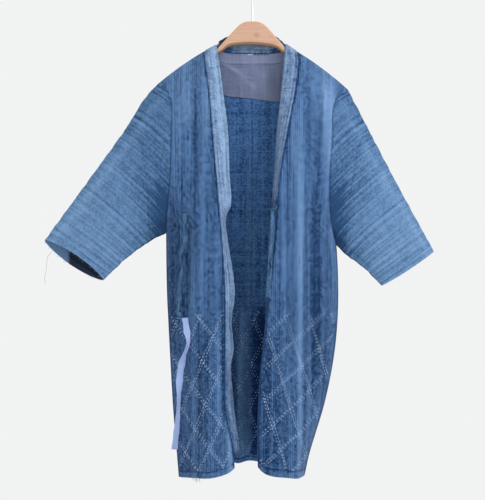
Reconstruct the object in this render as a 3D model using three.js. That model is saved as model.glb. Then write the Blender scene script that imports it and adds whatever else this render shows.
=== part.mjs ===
// Indigo work coat with a long folded collar, hung open on a wooden hanger.
//
// Millimetres, +Z up, +X to the viewer's right, and the coat's front faces -Y.
// The origin is the inner crown of the hook, where the rail carries it.
// "Right" and "left" in names are the wearer's: the right half is at -X.
import * as THREE from 'three';

// Cloth thicknesses and clearances
const BODY_CLOTH = 1.8;
const HEM_TURNED = 3.4;
const SLEEVE_CLOTH = 1.8;
const COLLAR_FOLDED = 3.2;
const LINING_CLOTH = 1.0;
const TIE_CLOTH = 1.2;
const SEAM_GAP = 0.36;
const LAYER_GAP = 0.35;

// Shoulder line: height of the ridge at a distance from the middle, sheared by the hanger's tilt
const SHOULDER_TOP = -115.7;
const SHOULDER_SLOPE = 0.311;
const SHOULDER_DROOP = 0.0013;
const HANGER_TILT = 0.026;
const SHOULDER_END = 216;

// Collar
const COLLAR_WIDTH = 37;
const COLLAR_BOW = 2.5;
const NECK_BACK = { y: 20, z: -164 };
const NECK_REST = { at: 0.22, reach: 0.17, lift: 6.5 };
const NECK_STEP = { middle: { y: 3, z: -22 }, side: { y: 9, z: -5.5 } };
const COLLAR_AT_NAPE = 35;
const COLLAR_STANDS_BY = 0.45;

// How a panel rounds from its flat middle into the side seam
const PANEL_ROUND = 2.6;
const BACK_SLOPE_ROUND = 2.2;
const NECK_SHARE = 0.5;
const UNDERARM = 7;
const HEM = 13;
const HEM_CORNER = { lift: 16, sharpness: 9 };
const LEFT_HEM_NARROWS = 2.4;
const FOLD_FADE = 9;

// Hanger and hook
const HANGER_DEPTH = 11;
const HANGER_BEVEL = 4.2;
const HANGER_CLEAR = 4.3;
const HANGER_END = 205;
const ARM_HEIGHT = 14;
const ARM_END_DROP = 2.5;
const DOME_TOP = -94;
const HOOK_WIRE = 2.1;
const HOOK_RADIUS = 17;
const HOOK_STRAIGHT_TOP = -46;

// Finishes
const finish = (colour, roughness, metalness = 0) =>
  new THREE.MeshStandardMaterial({ color: colour, roughness, metalness });
const indigoTwill = finish(0x45658f, 0.95);
const indigoSleeve = finish(0x5f7fa8, 0.95);
const paleCollar = finish(0x86a2c2, 0.95);
const insideIndigo = finish(0x2f4d73, 0.95);
const lavenderCotton = finish(0x7c86a2, 0.9);
const lavenderTape = finish(0xaab4e6, 0.85);
const beechWood = finish(0xd6ae94, 0.55);
const hookSteel = finish(0xb9bcc0, 0.3, 0.9);

// The height of the shoulder's ridge over a place x
function ridgeHeight(x) {
  const reach = Math.abs(x);
  return SHOULDER_TOP - SHOULDER_SLOPE * reach - SHOULDER_DROOP * x * x - HANGER_TILT * x;
}

const table = (columns, rows) =>
  rows.map((row) => Object.fromEntries(columns.map((column, i) => [column, row[i]])));

// Sections of each front, from the shoulder ridge (0) past the underarm (7) to the hem (13).
// seam: where the panel meets the collar. outer: its armhole edge, and below 7 its side seam.
const SECTION = ['at', 'seamX', 'seamY', 'seamZ', 'outerX', 'outerY', 'outerZ'];
const rightFront = table(SECTION, [
  [0, -110, 0, ridgeHeight(-110), -SHOULDER_END, 0, ridgeHeight(-SHOULDER_END)],
  [1, -109, -11, -168, -211, -8, -243],
  [2, -106, -25, -196, -192, -20, -257],
  [3, -97, -46, -265, -181, -34, -290],
  [4, -90, -60, -345, -182, -43, -352],
  [5, -81, -70, -450, -184, -44, -445],
  [6, -73, -75, -540, -193, -25, -530],
  [7, -69, -76, -580, -195, -5, -573],
  [8, -62, -78, -700, -193, -10, -697],
  [9, -61, -79, -780, -189, -10, -785],
  [10, -62, -80, -870, -184, -10, -880],
  [11, -60, -81, -965, -178, -10, -980],
  [12, -43, -82, -1055, -170, -10, -1075],
  [13, -40, -82, -1106, -166, -10, -1125],
]);
const leftFront = table(SECTION, [
  [0, 101, 0, ridgeHeight(101), SHOULDER_END, 0, ridgeHeight(SHOULDER_END)],
  [1, 102, -11, -169, 211, -8, -254],
  [2, 104, -25, -198, 192, -20, -267],
  [3, 94, -46, -267, 180, -34, -300],
  [4, 78, -60, -347, 178, -43, -362],
  [5, 60, -70, -447, 172, -45, -455],
  [6, 52, -75, -540, 177, -27, -552],
  [7, 48, -76, -592, 189, -5, -600],
  [8, 37, -78, -700, 193, -10, -700],
  [9, 29, -79, -780, 190, -10, -790],
  [10, 18, -80, -872, 180, -10, -872],
  [11, 12, -81, -962, 161, -10, -962],
  [12, 10, -82, -1052, 130, -10, -1065],
  [13, 11, -82, -1104, 117, -10, -1121],
]);
const centreBack = table(['at', 'x', 'y', 'z'], [
  [1, 0, 23, -186],
  [2, 0, 26, -222],
  [3, 0, 29, -266],
  [5, 0, 33, -450],
  [7, 0, 35, -586],
  [8, -2, 35, -700],
  [9, -4, 35, -784],
  [11, -13, 36, -967],
  [12, -18, 36, -1062],
  [13, -22, 36, -1099],
]);

// How much of the collar's width shows from the front, and how far it stands up
const collarTurnRight = table(['at', 'showing', 'rise'], [
  [0, 28, 15], [1, 29, 9], [2, 32, 2], [3, 32, 0], [4, 35, 0], [5, 30, 0], [5.6, 28, 0],
  [6, 13, 0], [7, 11, 0], [8, 22, 0], [8.9, 13, 0], [9.6, 19, 0], [10, 13, 0], [11, 19, 0],
  [12.1, 12, 0],
]);
const collarTurnLeft = table(['at', 'showing', 'rise'], [
  [0, 25.5, 17], [1, 28, 8], [2, 34, 1], [3, 31, 0], [4, 23, 0], [5, 10, 0], [6, 12, 0],
  [7, 12, 0], [8, 5, 0], [9, 0, 0], [11, -3, 0], [12.5, -3, 0],
]);

// Large folds: a crest (out above 0) or trough that runs from a top to a bottom point
const FOLD = ['topX', 'topZ', 'bottomX', 'bottomZ', 'width', 'out'];
const frontFolds = table(FOLD, [
  [-126, -250, -128, -500, 9, -6],
  [-128, -470, -154, -900, 10, -9],
  [-112, -250, -136, -800, 11, 5],
  [-104, -700, -96, -1140, 16, 6],
  [-70, -760, -66, -1140, 10, -4],
  [-150, -880, -138, -1140, 13, -5],
  [104, -210, 104, -1140, 13, 9],
  [84, -330, 72, -1140, 12, -5],
  [131, -300, 128, -900, 14, -6],
  [152, -330, 158, -880, 12, 4],
  [44, -700, 38, -1140, 11, 4],
]);
const backFolds = table(FOLD, [
  [-29, -800, -33, -1140, 13, -24],
  [-3, -700, -4, -1140, 15, 8],
  [-92, -330, -98, -1140, 18, 8],
  [-132, -520, -120, -1140, 15, -7],
  [60, -400, 40, -1140, 17, -8],
  [98, -300, 78, -1140, 18, 9],
  [140, -480, 98, -1140, 13, -6],
]);

// Sleeves: the upper and lower outline between armhole and cuff, at a share of the length
const sleeveShapes = {
  right: {
    top: table(['at', 'x', 'z'], [[0, -SHOULDER_END, ridgeHeight(-SHOULDER_END)],
      [0.1, -244, -269], [0.28, -286, -336], [0.62, -370, -453], [1, -471, -591]]),
    bottom: table(['at', 'x', 'z'], [[0, -195, -573], [0.28, -232, -592], [0.62, -285, -630],
      [1, -338, -680]]),
    frontLift: 13, backLift: -15, frontDepth: 13, backDepth: 17,
  },
  left: {
    top: table(['at', 'x', 'z'], [[0, SHOULDER_END, ridgeHeight(SHOULDER_END)],
      [0.28, 267, -348], [0.62, 331, -470], [1, 411, -616]]),
    bottom: table(['at', 'x', 'z'], [[0, 189, -600], [0.28, 214, -624], [0.62, 252, -652],
      [1, 293, -693]]),
    frontLift: -3, backLift: 3, frontDepth: 10, backDepth: 12,
  },
};
const SLEEVE_PIECED_AT = 0.28;
const CUFF_PART_AT = 0.6914;
const CUFF_FULLNESS = 0.6;
const CUFF_SPREAD = 0.8;
const CUFF_LEAN = 5;

// Grid lines: sections down the panels, columns across them, steps along a sleeve
const ROWS = [0, 1, 1.5, 2, 2.5, 3, 3.5, 4, 5, 5.5, 6, 6.5, 7, 8, 8.5, 9, 9.5, 10, 11, 12,
  12.5, 12.62, 13];
const HEM_FOLD_ROW = 12.6;
const RIGHT_COLLAR_END = 12;
const LEFT_COLLAR_END = 12.5;
const LINING_STRIP_END = 1;
const LINING_END = 3;
const LOWER_LINING_TOP = 8.5;
const LOWER_LINING_END = 12.5;
const PANEL_COLUMNS = 11;
const NECK_COLUMNS = 6;
const COLLAR_COLUMNS = 3;
const UPPER_SLEEVE_STEPS = 3;
const LOWER_SLEEVE_STEPS = 4;
const CUFF_STEPS = 3;

const lerp = THREE.MathUtils.lerp;
const clamp = THREE.MathUtils.clamp;
const smooth = (from, to, value) => THREE.MathUtils.smoothstep(value, from, to);
const steps = (count) => Array.from({ length: count + 1 }, (_, i) => i / count);

// A smooth curve through the rows of a table, at any value of its first column
function sample(rows, at) {
  const last = rows.length - 1;
  let i = rows.findIndex((row) => row.at > at) - 1;
  if (i === -2) i = last - 1;
  i = clamp(i, 0, last - 1);
  const [a, b] = [rows[i], rows[i + 1]];
  const before = rows[Math.max(i - 1, 0)];
  const after = rows[Math.min(i + 2, last)];
  const span = b.at - a.at;
  const t = clamp((at - a.at) / span, 0, 1);
  const result = {};
  for (const column of Object.keys(a)) {
    const slopeA = (b[column] - before[column]) / (b.at - before.at) * span;
    const slopeB = (after[column] - a[column]) / (after.at - a.at) * span;
    const t2 = t * t;
    const t3 = t2 * t;
    result[column] = (2 * t3 - 3 * t2 + 1) * a[column] + (t3 - 2 * t2 + t) * slopeA
      + (3 * t2 - 2 * t3) * b[column] + (t3 - t2) * slopeB;
  }
  return result;
}

// The sum of all the folds at a point of a panel
function foldDepth(folds, x, z) {
  let depth = 0;
  for (const fold of folds) {
    const share = (fold.topZ - z) / (fold.topZ - fold.bottomZ);
    const middle = lerp(fold.topX, fold.bottomX, clamp(share, 0, 1));
    const across = (x - middle) / fold.width;
    const along = smooth(0, 0.35, share) * (1 - smooth(0.85, 1.2, share));
    depth += fold.out * along * Math.exp(-across * across);
  }
  return depth;
}

// A point of a front panel: at counts the sections down, u runs from the collar seam to the side
function frontPoint(sections, at, u) {
  const section = sample(sections, at);
  const x = lerp(section.seamX, section.outerX, u);
  let z = lerp(section.seamZ, section.outerZ, u);
  z += HEM_CORNER.lift * (1 - u) ** HEM_CORNER.sharpness * smooth(12, HEM, at);
  if (at < 2) {
    const top = sections[0];
    const chord = lerp(top.seamZ, top.outerZ, u);
    z += (ridgeHeight(lerp(top.seamX, top.outerX, u)) - chord) * (1 - smooth(1, 2, at));
  }
  const narrowing = sections === leftFront ? LEFT_HEM_NARROWS * smooth(10, HEM, at) : 0;
  let y = lerp(section.seamY, section.outerY, u ** (PANEL_ROUND + narrowing));
  y -= foldDepth(frontFolds, x, z) * Math.min(1, FOLD_FADE * u * (1 - u));
  return new THREE.Vector3(x, y, z);
}

// The neck seam behind the head: s runs from the shoulder ridge to the centre back. It rests on
// the hanger's arm near the shoulder, so it lies a little higher there.
function neckPoint(sections, s) {
  const top = sections[0];
  const rest = Math.exp(-(((s - NECK_REST.at) / NECK_REST.reach) ** 2)) * Math.min(1, 6 * s);
  return new THREE.Vector3(top.seamX * (1 - s), NECK_BACK.y * (1 - (1 - s) ** 3),
    lerp(NECK_BACK.z, ridgeHeight(top.seamX), (1 - s) ** 2) + NECK_REST.lift * rest);
}

// The armhole edge of the back mirrors the front's, and joins it at the side seam
function backOuter(sections, at) {
  const front = sample(sections, at);
  if (at >= UNDERARM) return new THREE.Vector3(front.outerX, front.outerY, front.outerZ);
  const meet = sections[UNDERARM].outerY;
  const y = -front.outerY + 2 * meet * (at / UNDERARM) ** 4;
  return new THREE.Vector3(front.outerX, y, front.outerZ);
}

// A point of the back: w runs from the right side (-1) over the centre seam (0) to the left (1)
function backPoint(at, w) {
  const sections = w < 0 ? rightFront : leftFront;
  const a = Math.abs(w);
  const plain = (row) => {
    const middle = sample(centreBack, row);
    const outer = backOuter(sections, row);
    return new THREE.Vector3(lerp(middle.x, outer.x, a),
      lerp(middle.y, outer.y, a ** PANEL_ROUND), lerp(middle.z, outer.z, a ** BACK_SLOPE_ROUND));
  };
  const top = a < NECK_SHARE
    ? neckPoint(sections, 1 - a / NECK_SHARE)
    : frontPoint(sections, 0, (a - NECK_SHARE) / (1 - NECK_SHARE));
  const beside = smooth(0.3, NECK_SHARE, a);
  const step = new THREE.Vector3(0, lerp(NECK_STEP.middle.y, NECK_STEP.side.y, beside),
    lerp(NECK_STEP.middle.z, NECK_STEP.side.z, beside));
  if (a === 1) step.copy(backOuter(sections, 1)).sub(top);
  if (at <= 1) return top.addScaledVector(step, at);
  const bow = top.add(step).sub(plain(1));
  const point = plain(at).addScaledVector(bow, 1 - smooth(1, 4, at));
  point.y += foldDepth(backFolds, point.x, point.z) * (1 - a ** 8);
  return point;
}

// The collar's free edge from its seam point: the band keeps its width and turns inward
function collarEdge(seam, side, showing, rise, turned) {
  const hidden = Math.sqrt(Math.max(0, COLLAR_WIDTH ** 2 - showing ** 2 - rise ** 2));
  return new THREE.Vector3(seam.x - side * showing, seam.y + turned * hidden, seam.z + rise);
}

// The collar's seam and free edge at a section of a front
function collarAtFront(sections, turns, side, at) {
  const seam = frontPoint(sections, at, 0);
  const turn = sample(turns, at);
  return [seam, collarEdge(seam, side, turn.showing, turn.rise, smooth(1, 4, at))];
}

// The collar's seam and free edge behind the neck
function collarAtNeck(sections, turns, side, s) {
  const seam = neckPoint(sections, s);
  const rise = lerp(turns[0].rise, COLLAR_AT_NAPE, smooth(0, COLLAR_STANDS_BY, s));
  return [seam, collarEdge(seam, side, turns[0].showing * (1 - s) ** 1.5, rise, s)];
}

// Every sewn surface is a grid of points. A patch keeps its grid, which way round it faces,
// and the thickness of the cloth at each row.
const patch = (grid, flip, thickness) => ({ grid, flip, thickness });
const keyOf = (point) => `${Math.round(point.x * 1e3)},${Math.round(point.y * 1e3)},${
  Math.round(point.z * 1e3)}`;

// The four corners of each cell, in an order that faces outward
function cells({ grid, flip }) {
  const list = [];
  for (let i = 0; i + 1 < grid.length; i += 1) {
    for (let j = 0; j + 1 < grid[i].length; j += 1) {
      const cell = [[i, j], [i, j + 1], [i + 1, j + 1], [i + 1, j]];
      list.push(flip ? cell.reverse() : cell);
    }
  }
  return list;
}

// Normals shared by all the sewn surfaces, so that two pieces meet at a seam on one mitre
const sharedNormals = new Map();
function addNormals(patches) {
  for (const sheet of patches) {
    for (const cell of cells(sheet)) {
      const [a, b, c, d] = cell.map(([i, j]) => sheet.grid[i][j]);
      const area = new THREE.Vector3().crossVectors(c.clone().sub(a), d.clone().sub(b));
      for (const corner of [a, b, c, d]) {
        const key = keyOf(corner);
        if (!sharedNormals.has(key)) sharedNormals.set(key, new THREE.Vector3());
        sharedNormals.get(key).add(area);
      }
    }
  }
}
const normalAt = (point) => sharedNormals.get(keyOf(point)).clone().normalize();

// One closed solid from sewn patches: the cloth's two faces and a rim round every open edge,
// drawn in by half a seam gap. shift moves the cloth out (above 0) or in, along the normals.
// A rim is cut from corner to corner the same way on both sides of a seam, so that twisted
// rims stay parallel.
function clothGeometry(patches, shift = 0) {
  const vertices = [];
  const indexOf = new Map();
  const quads = [];
  for (const sheet of patches) {
    for (const cell of cells(sheet)) {
      quads.push(cell.map(([i, j]) => {
        const point = sheet.grid[i][j];
        const key = keyOf(point);
        if (!indexOf.has(key)) {
          indexOf.set(key, vertices.length);
          const normal = normalAt(point);
          vertices.push({ key, point: point.clone().addScaledVector(normal, shift), normal,
            thickness: sheet.thickness(i, j), inward: new THREE.Vector3() });
        }
        return indexOf.get(key);
      }));
    }
  }
  const uses = new Map();
  const edgeKey = (a, b) => (a < b ? `${a}_${b}` : `${b}_${a}`);
  for (const quad of quads) {
    quad.forEach((a, i) => {
      const key = edgeKey(a, quad[(i + 1) % 4]);
      uses.set(key, (uses.get(key) ?? 0) + 1);
    });
  }
  const rims = [];
  for (const quad of quads) {
    quad.forEach((a, i) => {
      const b = quad[(i + 1) % 4];
      if (uses.get(edgeKey(a, b)) > 1) return;
      rims.push([a, b]);
      const along = vertices[b].point.clone().sub(vertices[a].point).normalize();
      for (const end of [a, b]) {
        vertices[end].inward.add(vertices[end].normal.clone().cross(along));
      }
    });
  }
  const positions = [];
  const outer = [];
  const inner = [];
  for (const { point, normal, thickness, inward } of vertices) {
    if (inward.lengthSq() > 0) point.addScaledVector(inward.normalize(), SEAM_GAP / 2);
    outer.push(point.clone().addScaledVector(normal, thickness / 2));
    inner.push(point.clone().addScaledVector(normal, -thickness / 2));
  }
  const push = (...corners) => corners.forEach((corner) => positions.push(...corner));
  for (const [a, b, c, d] of quads) {
    push(outer[a], outer[b], outer[c], outer[a], outer[c], outer[d]);
    push(inner[a], inner[c], inner[b], inner[a], inner[d], inner[c]);
  }
  for (const [a, b] of rims) {
    if (vertices[a].key < vertices[b].key) {
      push(outer[b], outer[a], inner[a], outer[b], inner[a], inner[b]);
    } else {
      push(outer[a], inner[a], inner[b], outer[b], outer[a], inner[b]);
    }
  }
  const geometry = new THREE.BufferGeometry();
  geometry.setAttribute('position', new THREE.Float32BufferAttribute(positions, 3));
  geometry.computeVertexNormals();
  return geometry;
}

// Surfaces of the sewn coat
const gridOf = (rows, columns, pointAt) => rows.map((row) => columns.map((c) => pointAt(row, c)));
const panelColumns = steps(PANEL_COLUMNS);
const halfBack = [...steps(NECK_COLUMNS).slice(0, -1).map((s) => s * NECK_SHARE),
  ...panelColumns.map((u) => NECK_SHARE + u * (1 - NECK_SHARE))];
const bodyThickness = (i) => (ROWS[i] > HEM_FOLD_ROW ? HEM_TURNED : BODY_CLOTH);
const frontRightPatch = patch(
  gridOf(ROWS, panelColumns, (at, u) => frontPoint(rightFront, at, u)), false, bodyThickness);
const frontLeftPatch = patch(
  gridOf(ROWS, panelColumns, (at, u) => frontPoint(leftFront, at, u)), true, bodyThickness);
const backRightColumns = halfBack.map((a) => -a).reverse();
const backRightPatch = patch(gridOf(ROWS, backRightColumns, backPoint), false, bodyThickness);
const backLeftPatch = patch(gridOf(ROWS, halfBack, backPoint), false, bodyThickness);

function collarStations() {
  const rightRows = ROWS.filter((at) => at <= RIGHT_COLLAR_END).reverse();
  const leftRows = ROWS.filter((at) => at <= LEFT_COLLAR_END);
  const neck = steps(NECK_COLUMNS).slice(1);
  return [
    ...rightRows.map((at) => collarAtFront(rightFront, collarTurnRight, -1, at)),
    ...neck.map((s) => collarAtNeck(rightFront, collarTurnRight, -1, s)),
    ...neck.slice(0, -1).reverse().map((s) => collarAtNeck(leftFront, collarTurnLeft, 1, s)),
    ...leftRows.map((at) => collarAtFront(leftFront, collarTurnLeft, 1, at)),
  ];
}
const collarPatch = patch(collarStations().map(([seam, edge]) => steps(COLLAR_COLUMNS).map((k) => {
  const point = seam.clone().lerp(edge, k);
  point.y -= COLLAR_BOW * Math.sin(Math.PI * k) * Math.sign(NECK_BACK.y - 8 - seam.y);
  return point;
})), false, (i, j) => (j === 0 ? BODY_CLOTH : COLLAR_FOLDED));

// A sleeve is ruled between the armhole ring and the cuff ring, and follows its two outlines.
// The ring runs down the front and up the back. Its lower piece is one cloth, but the end of it
// is a solid of its own, so that collision can follow the narrow cuff.
function sleevePatch(side, sections, flip, from, to, count) {
  const shape = sleeveShapes[side];
  const ends = [shape.top, shape.bottom].map((line) => line[line.length - 1]);
  const chord = new THREE.Vector3(ends[1].x - ends[0].x, 0, ends[1].z - ends[0].z);
  const lift = new THREE.Vector3(-chord.z, 0, chord.x).normalize();
  if (lift.z < 0) lift.negate();
  const armholeRows = ROWS.filter((at) => at <= UNDERARM);
  const top = sections[0].outerZ;
  const drop = sections[UNDERARM].outerZ - top;
  const ringPoint = (v, at, back) => {
    const section = sample(sections, at);
    const root = back ? backOuter(sections, at)
      : new THREE.Vector3(section.outerX, section.outerY, section.outerZ);
    const share = (root.z - top) / drop;
    const spread = share ** CUFF_SPREAD;
    const full = Math.sin(Math.PI * spread) ** CUFF_FULLNESS;
    const cuff = new THREE.Vector3(ends[0].x, 0, ends[0].z).addScaledVector(chord, spread);
    cuff.addScaledVector(lift, (back ? shape.backLift : shape.frontLift) * full);
    cuff.y = full * (back ? shape.backDepth : -shape.frontDepth) - CUFF_LEAN * share;
    const point = root.clone().lerp(cuff, v);
    for (const [line, weight] of [[shape.top, 1 - share], [shape.bottom, share]]) {
      const wanted = sample(line, v);
      const end = line[line.length - 1];
      point.x += weight * (wanted.x - lerp(line[0].x, end.x, v));
      point.z += weight * (wanted.z - lerp(line[0].z, end.z, v));
    }
    return point;
  };
  const ring = [...armholeRows.map((at) => [at, false]),
    ...armholeRows.slice(0, -1).reverse().map((at) => [at, true])];
  const grid = steps(count).map((share) => ring.map(([at, back]) =>
    ringPoint(lerp(from, to, share), at, back)));
  return patch(grid, flip, () => SLEEVE_CLOTH);
}
const sleeveRightUpper = sleevePatch('right', rightFront, true, 0, SLEEVE_PIECED_AT,
  UPPER_SLEEVE_STEPS);
const sleeveRightLower = sleevePatch('right', rightFront, true, SLEEVE_PIECED_AT, CUFF_PART_AT,
  LOWER_SLEEVE_STEPS);
const sleeveRightCuff = sleevePatch('right', rightFront, true, CUFF_PART_AT, 1, CUFF_STEPS);
const sleeveLeftUpper = sleevePatch('left', leftFront, false, 0, SLEEVE_PIECED_AT,
  UPPER_SLEEVE_STEPS);
const sleeveLeftLower = sleevePatch('left', leftFront, false, SLEEVE_PIECED_AT, CUFF_PART_AT,
  LOWER_SLEEVE_STEPS);
const sleeveLeftCuff = sleevePatch('left', leftFront, false, CUFF_PART_AT, 1, CUFF_STEPS);

addNormals([frontRightPatch, frontLeftPatch, backRightPatch, backLeftPatch, collarPatch,
  sleeveRightUpper, sleeveRightLower, sleeveRightCuff,
  sleeveLeftUpper, sleeveLeftLower, sleeveLeftCuff]);

const group = new THREE.Group();
function add(name, geometry, material) {
  const mesh = new THREE.Mesh(geometry, material);
  mesh.name = name;
  group.add(mesh);
  return mesh;
}

const bodyRight = add('body_right', clothGeometry([frontRightPatch, backRightPatch]), indigoTwill);
const bodyLeft = add('body_left', clothGeometry([frontLeftPatch, backLeftPatch]), indigoTwill);
const collar = add('collar', clothGeometry([collarPatch]), paleCollar);
add('sleeve_right_upper', clothGeometry([sleeveRightUpper]), indigoSleeve);
add('sleeve_right_lower', clothGeometry([sleeveRightLower]), indigoSleeve);
add('sleeve_right_cuff', clothGeometry([sleeveRightCuff]), indigoSleeve);
add('sleeve_left_upper', clothGeometry([sleeveLeftUpper]), indigoSleeve);
add('sleeve_left_lower', clothGeometry([sleeveLeftLower]), indigoSleeve);
add('sleeve_left_cuff', clothGeometry([sleeveLeftCuff]), indigoSleeve);

// Linings lie against the inside of the back, on its own points
const backColumns = [...backRightColumns, ...halfBack.slice(1)];
function backLayer(name, from, to, columns, cloth, material) {
  const rows = ROWS.filter((at) => at >= from && at <= to);
  const layer = patch(gridOf(rows, columns, backPoint), false, () => cloth);
  add(name, clothGeometry([layer], -(BODY_CLOTH + cloth) / 2 - LAYER_GAP), material);
}
backLayer('shoulder_lining_strip', 0, LINING_STRIP_END, backColumns, LINING_CLOTH,
  lavenderCotton);
backLayer('shoulder_lining', LINING_STRIP_END, LINING_END, backColumns, LINING_CLOTH,
  lavenderCotton);
backLayer('lower_back_lining', LOWER_LINING_TOP, LOWER_LINING_END, backColumns.slice(1, -1),
  LINING_CLOTH, insideIndigo);

// Ties hang from their sewn ends in front of the cloth behind them. turn is how far the strip
// has twisted from facing the viewer, in degrees, and off is its distance from that cloth.
const STRIP = ['x', 'z', 'wide', 'turn', 'off'];
const tieRight = table(STRIP, [
  [-149, -532, 12, 0, 0.5], [-148, -558, 13, 5, 2], [-149, -582, 13, 0, 2], [-155, -614, 12, 10, 2],
  [-159, -654, 12, 25, 2.5], [-163, -700, 11, 15, 3], [-165, -736, 13, 0, 3], [-164, -759, 13, 0, 3],
]);
const tapeRight = table(STRIP, [
  [-150, -763, 14, 0, 0.5], [-146, -790, 14, 10, 2], [-143, -818, 12, 55, 3],
  [-152, -846, 13, 40, 3], [-160, -876, 16, 0, 3], [-163, -912, 15, 15, 4],
  [-165, -950, 13, 60, 5], [-168, -992, 12, 35, 6], [-175, -1060, 15, 0, 8],
]);
const tieLeft = table(STRIP, [
  [47, -516, 12, 0, 0.5], [44, -545, 11, 10, 2], [42, -590, 10, 15, 2], [38, -640, 10, 10, 2],
  [35, -690, 11, 0, 2], [33, -716, 12, 0, 2],
]);
const sight = new THREE.Raycaster();
const towardCloth = new THREE.Vector3(0, 1, 0);
function clothFront(behind, x, z) {
  sight.set(new THREE.Vector3(x, -400, z), towardCloth);
  const [hit] = sight.intersectObjects(behind, false);
  return hit ? hit.point.y : Infinity;
}
function tieGeometry(rows, behind) {
  const sections = rows.map((row) => {
    const turn = THREE.MathUtils.degToRad(row.turn);
    const reach = row.wide / 2;
    const nearest = Math.min(...[-1, -0.5, 0, 0.5, 1].map((share) =>
      clothFront(behind, row.x + share * reach, row.z)));
    const y = nearest - row.off - TIE_CLOTH / 2 - reach * Math.sin(turn);
    const across = new THREE.Vector3(Math.cos(turn), Math.sin(turn), 0).multiplyScalar(reach);
    const through = new THREE.Vector3(-Math.sin(turn), Math.cos(turn), 0)
      .multiplyScalar(TIE_CLOTH / 2);
    const middle = new THREE.Vector3(row.x, y, row.z);
    return [[-1, -1], [1, -1], [1, 1], [-1, 1]].map(([a, b]) =>
      middle.clone().addScaledVector(across, a).addScaledVector(through, b));
  });
  const positions = [];
  const push = (...corners) => corners.forEach((corner) => positions.push(...corner));
  const [first, last] = [sections[0], sections[sections.length - 1]];
  push(first[0], first[1], first[2], first[0], first[2], first[3]);
  push(last[0], last[2], last[1], last[0], last[3], last[2]);
  for (let i = 0; i + 1 < sections.length; i += 1) {
    for (let j = 0; j < 4; j += 1) {
      const [a, b] = [sections[i][j], sections[i][(j + 1) % 4]];
      const [c, d] = [sections[i + 1][(j + 1) % 4], sections[i + 1][j]];
      push(a, c, b, a, d, c);
    }
  }
  const geometry = new THREE.BufferGeometry();
  geometry.setAttribute('position', new THREE.Float32BufferAttribute(positions, 3));
  geometry.computeVertexNormals();
  return geometry;
}
add('tie_right', tieGeometry(tieRight, [bodyRight]), insideIndigo);
add('tape_right', tieGeometry(tapeRight, [bodyRight]), lavenderTape);
add('tie_left', tieGeometry(tieLeft, [bodyLeft, collar]), insideIndigo);

// Hanger: one bevelled board with a domed middle. Its arms follow the shoulder ridge from below.
function hangerOutline() {
  const tilted = (x, z) => new THREE.Vector2(x, z - HANGER_TILT * x);
  const armTop = (reach) => SHOULDER_TOP - SHOULDER_SLOPE * reach - SHOULDER_DROOP * reach * reach
    - HANGER_CLEAR;
  const half = [[0, DOME_TOP], [14, -95], [25, -99.5], [34, -107], [56, -131], [68, -144.5],
    [80, -157.5], [92, -165]];
  for (let reach = 112; reach < HANGER_END - 10; reach += 19) half.push([reach, armTop(reach)]);
  const endX = HANGER_END - ARM_HEIGHT / 2;
  const endZ = armTop(endX) - ARM_HEIGHT / 2 - ARM_END_DROP;
  for (const degrees of [30, -10, -50, -90, -130]) {
    const angle = THREE.MathUtils.degToRad(degrees);
    half.push([endX + ARM_HEIGHT / 2 * Math.cos(angle), endZ + ARM_HEIGHT / 2 * Math.sin(angle)]);
  }
  for (let reach = 180; reach >= 100; reach -= 20) {
    half.push([reach, armTop(reach) - ARM_HEIGHT]);
  }
  half.push([84, -174.5], [68, -163.5], [53, -153], [28, -148.5], [0, -147]);
  const right = half.map(([x, z]) => tilted(x, z));
  const left = half.slice(1, -1).reverse().map(([x, z]) => tilted(-x, z));
  return new THREE.Shape([...right, ...left].reverse());
}
const hangerBoard = new THREE.ExtrudeGeometry(hangerOutline(), {
  depth: HANGER_DEPTH - 2 * HANGER_BEVEL, bevelThickness: HANGER_BEVEL, bevelSize: HANGER_BEVEL,
  bevelOffset: -HANGER_BEVEL, bevelSegments: 3, steps: 1,
});
hangerBoard.translate(0, 0, HANGER_BEVEL - HANGER_DEPTH / 2);
hangerBoard.rotateX(Math.PI / 2);
add('hanger_wood', hangerBoard, beechWood);

// Hook: a straight wire stem that bends aside and over into an open crook
function hookPath() {
  const centre = -HOOK_RADIUS + HOOK_WIRE;
  const points = [[0, DOME_TOP + SEAM_GAP], [0, -78], [0, -62], [0, HOOK_STRAIGHT_TOP],
    [4.5, -38], [12, -29]];
  for (let degrees = 0; degrees <= 205; degrees += 20.5) {
    const angle = THREE.MathUtils.degToRad(degrees);
    points.push([HOOK_RADIUS * Math.cos(angle), centre + HOOK_RADIUS * Math.sin(angle)]);
  }
  return new THREE.CatmullRomCurve3(points.map(([x, z]) => new THREE.Vector3(x, 0, z)));
}
const wireSection = new THREE.Shape();
wireSection.absarc(0, 0, HOOK_WIRE, 0, 2 * Math.PI);
add('hanger_hook', new THREE.ExtrudeGeometry(wireSection, {
  extrudePath: hookPath(), steps: 38, curveSegments: 4, bevelEnabled: false,
}), hookSteel);

export default group;
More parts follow.
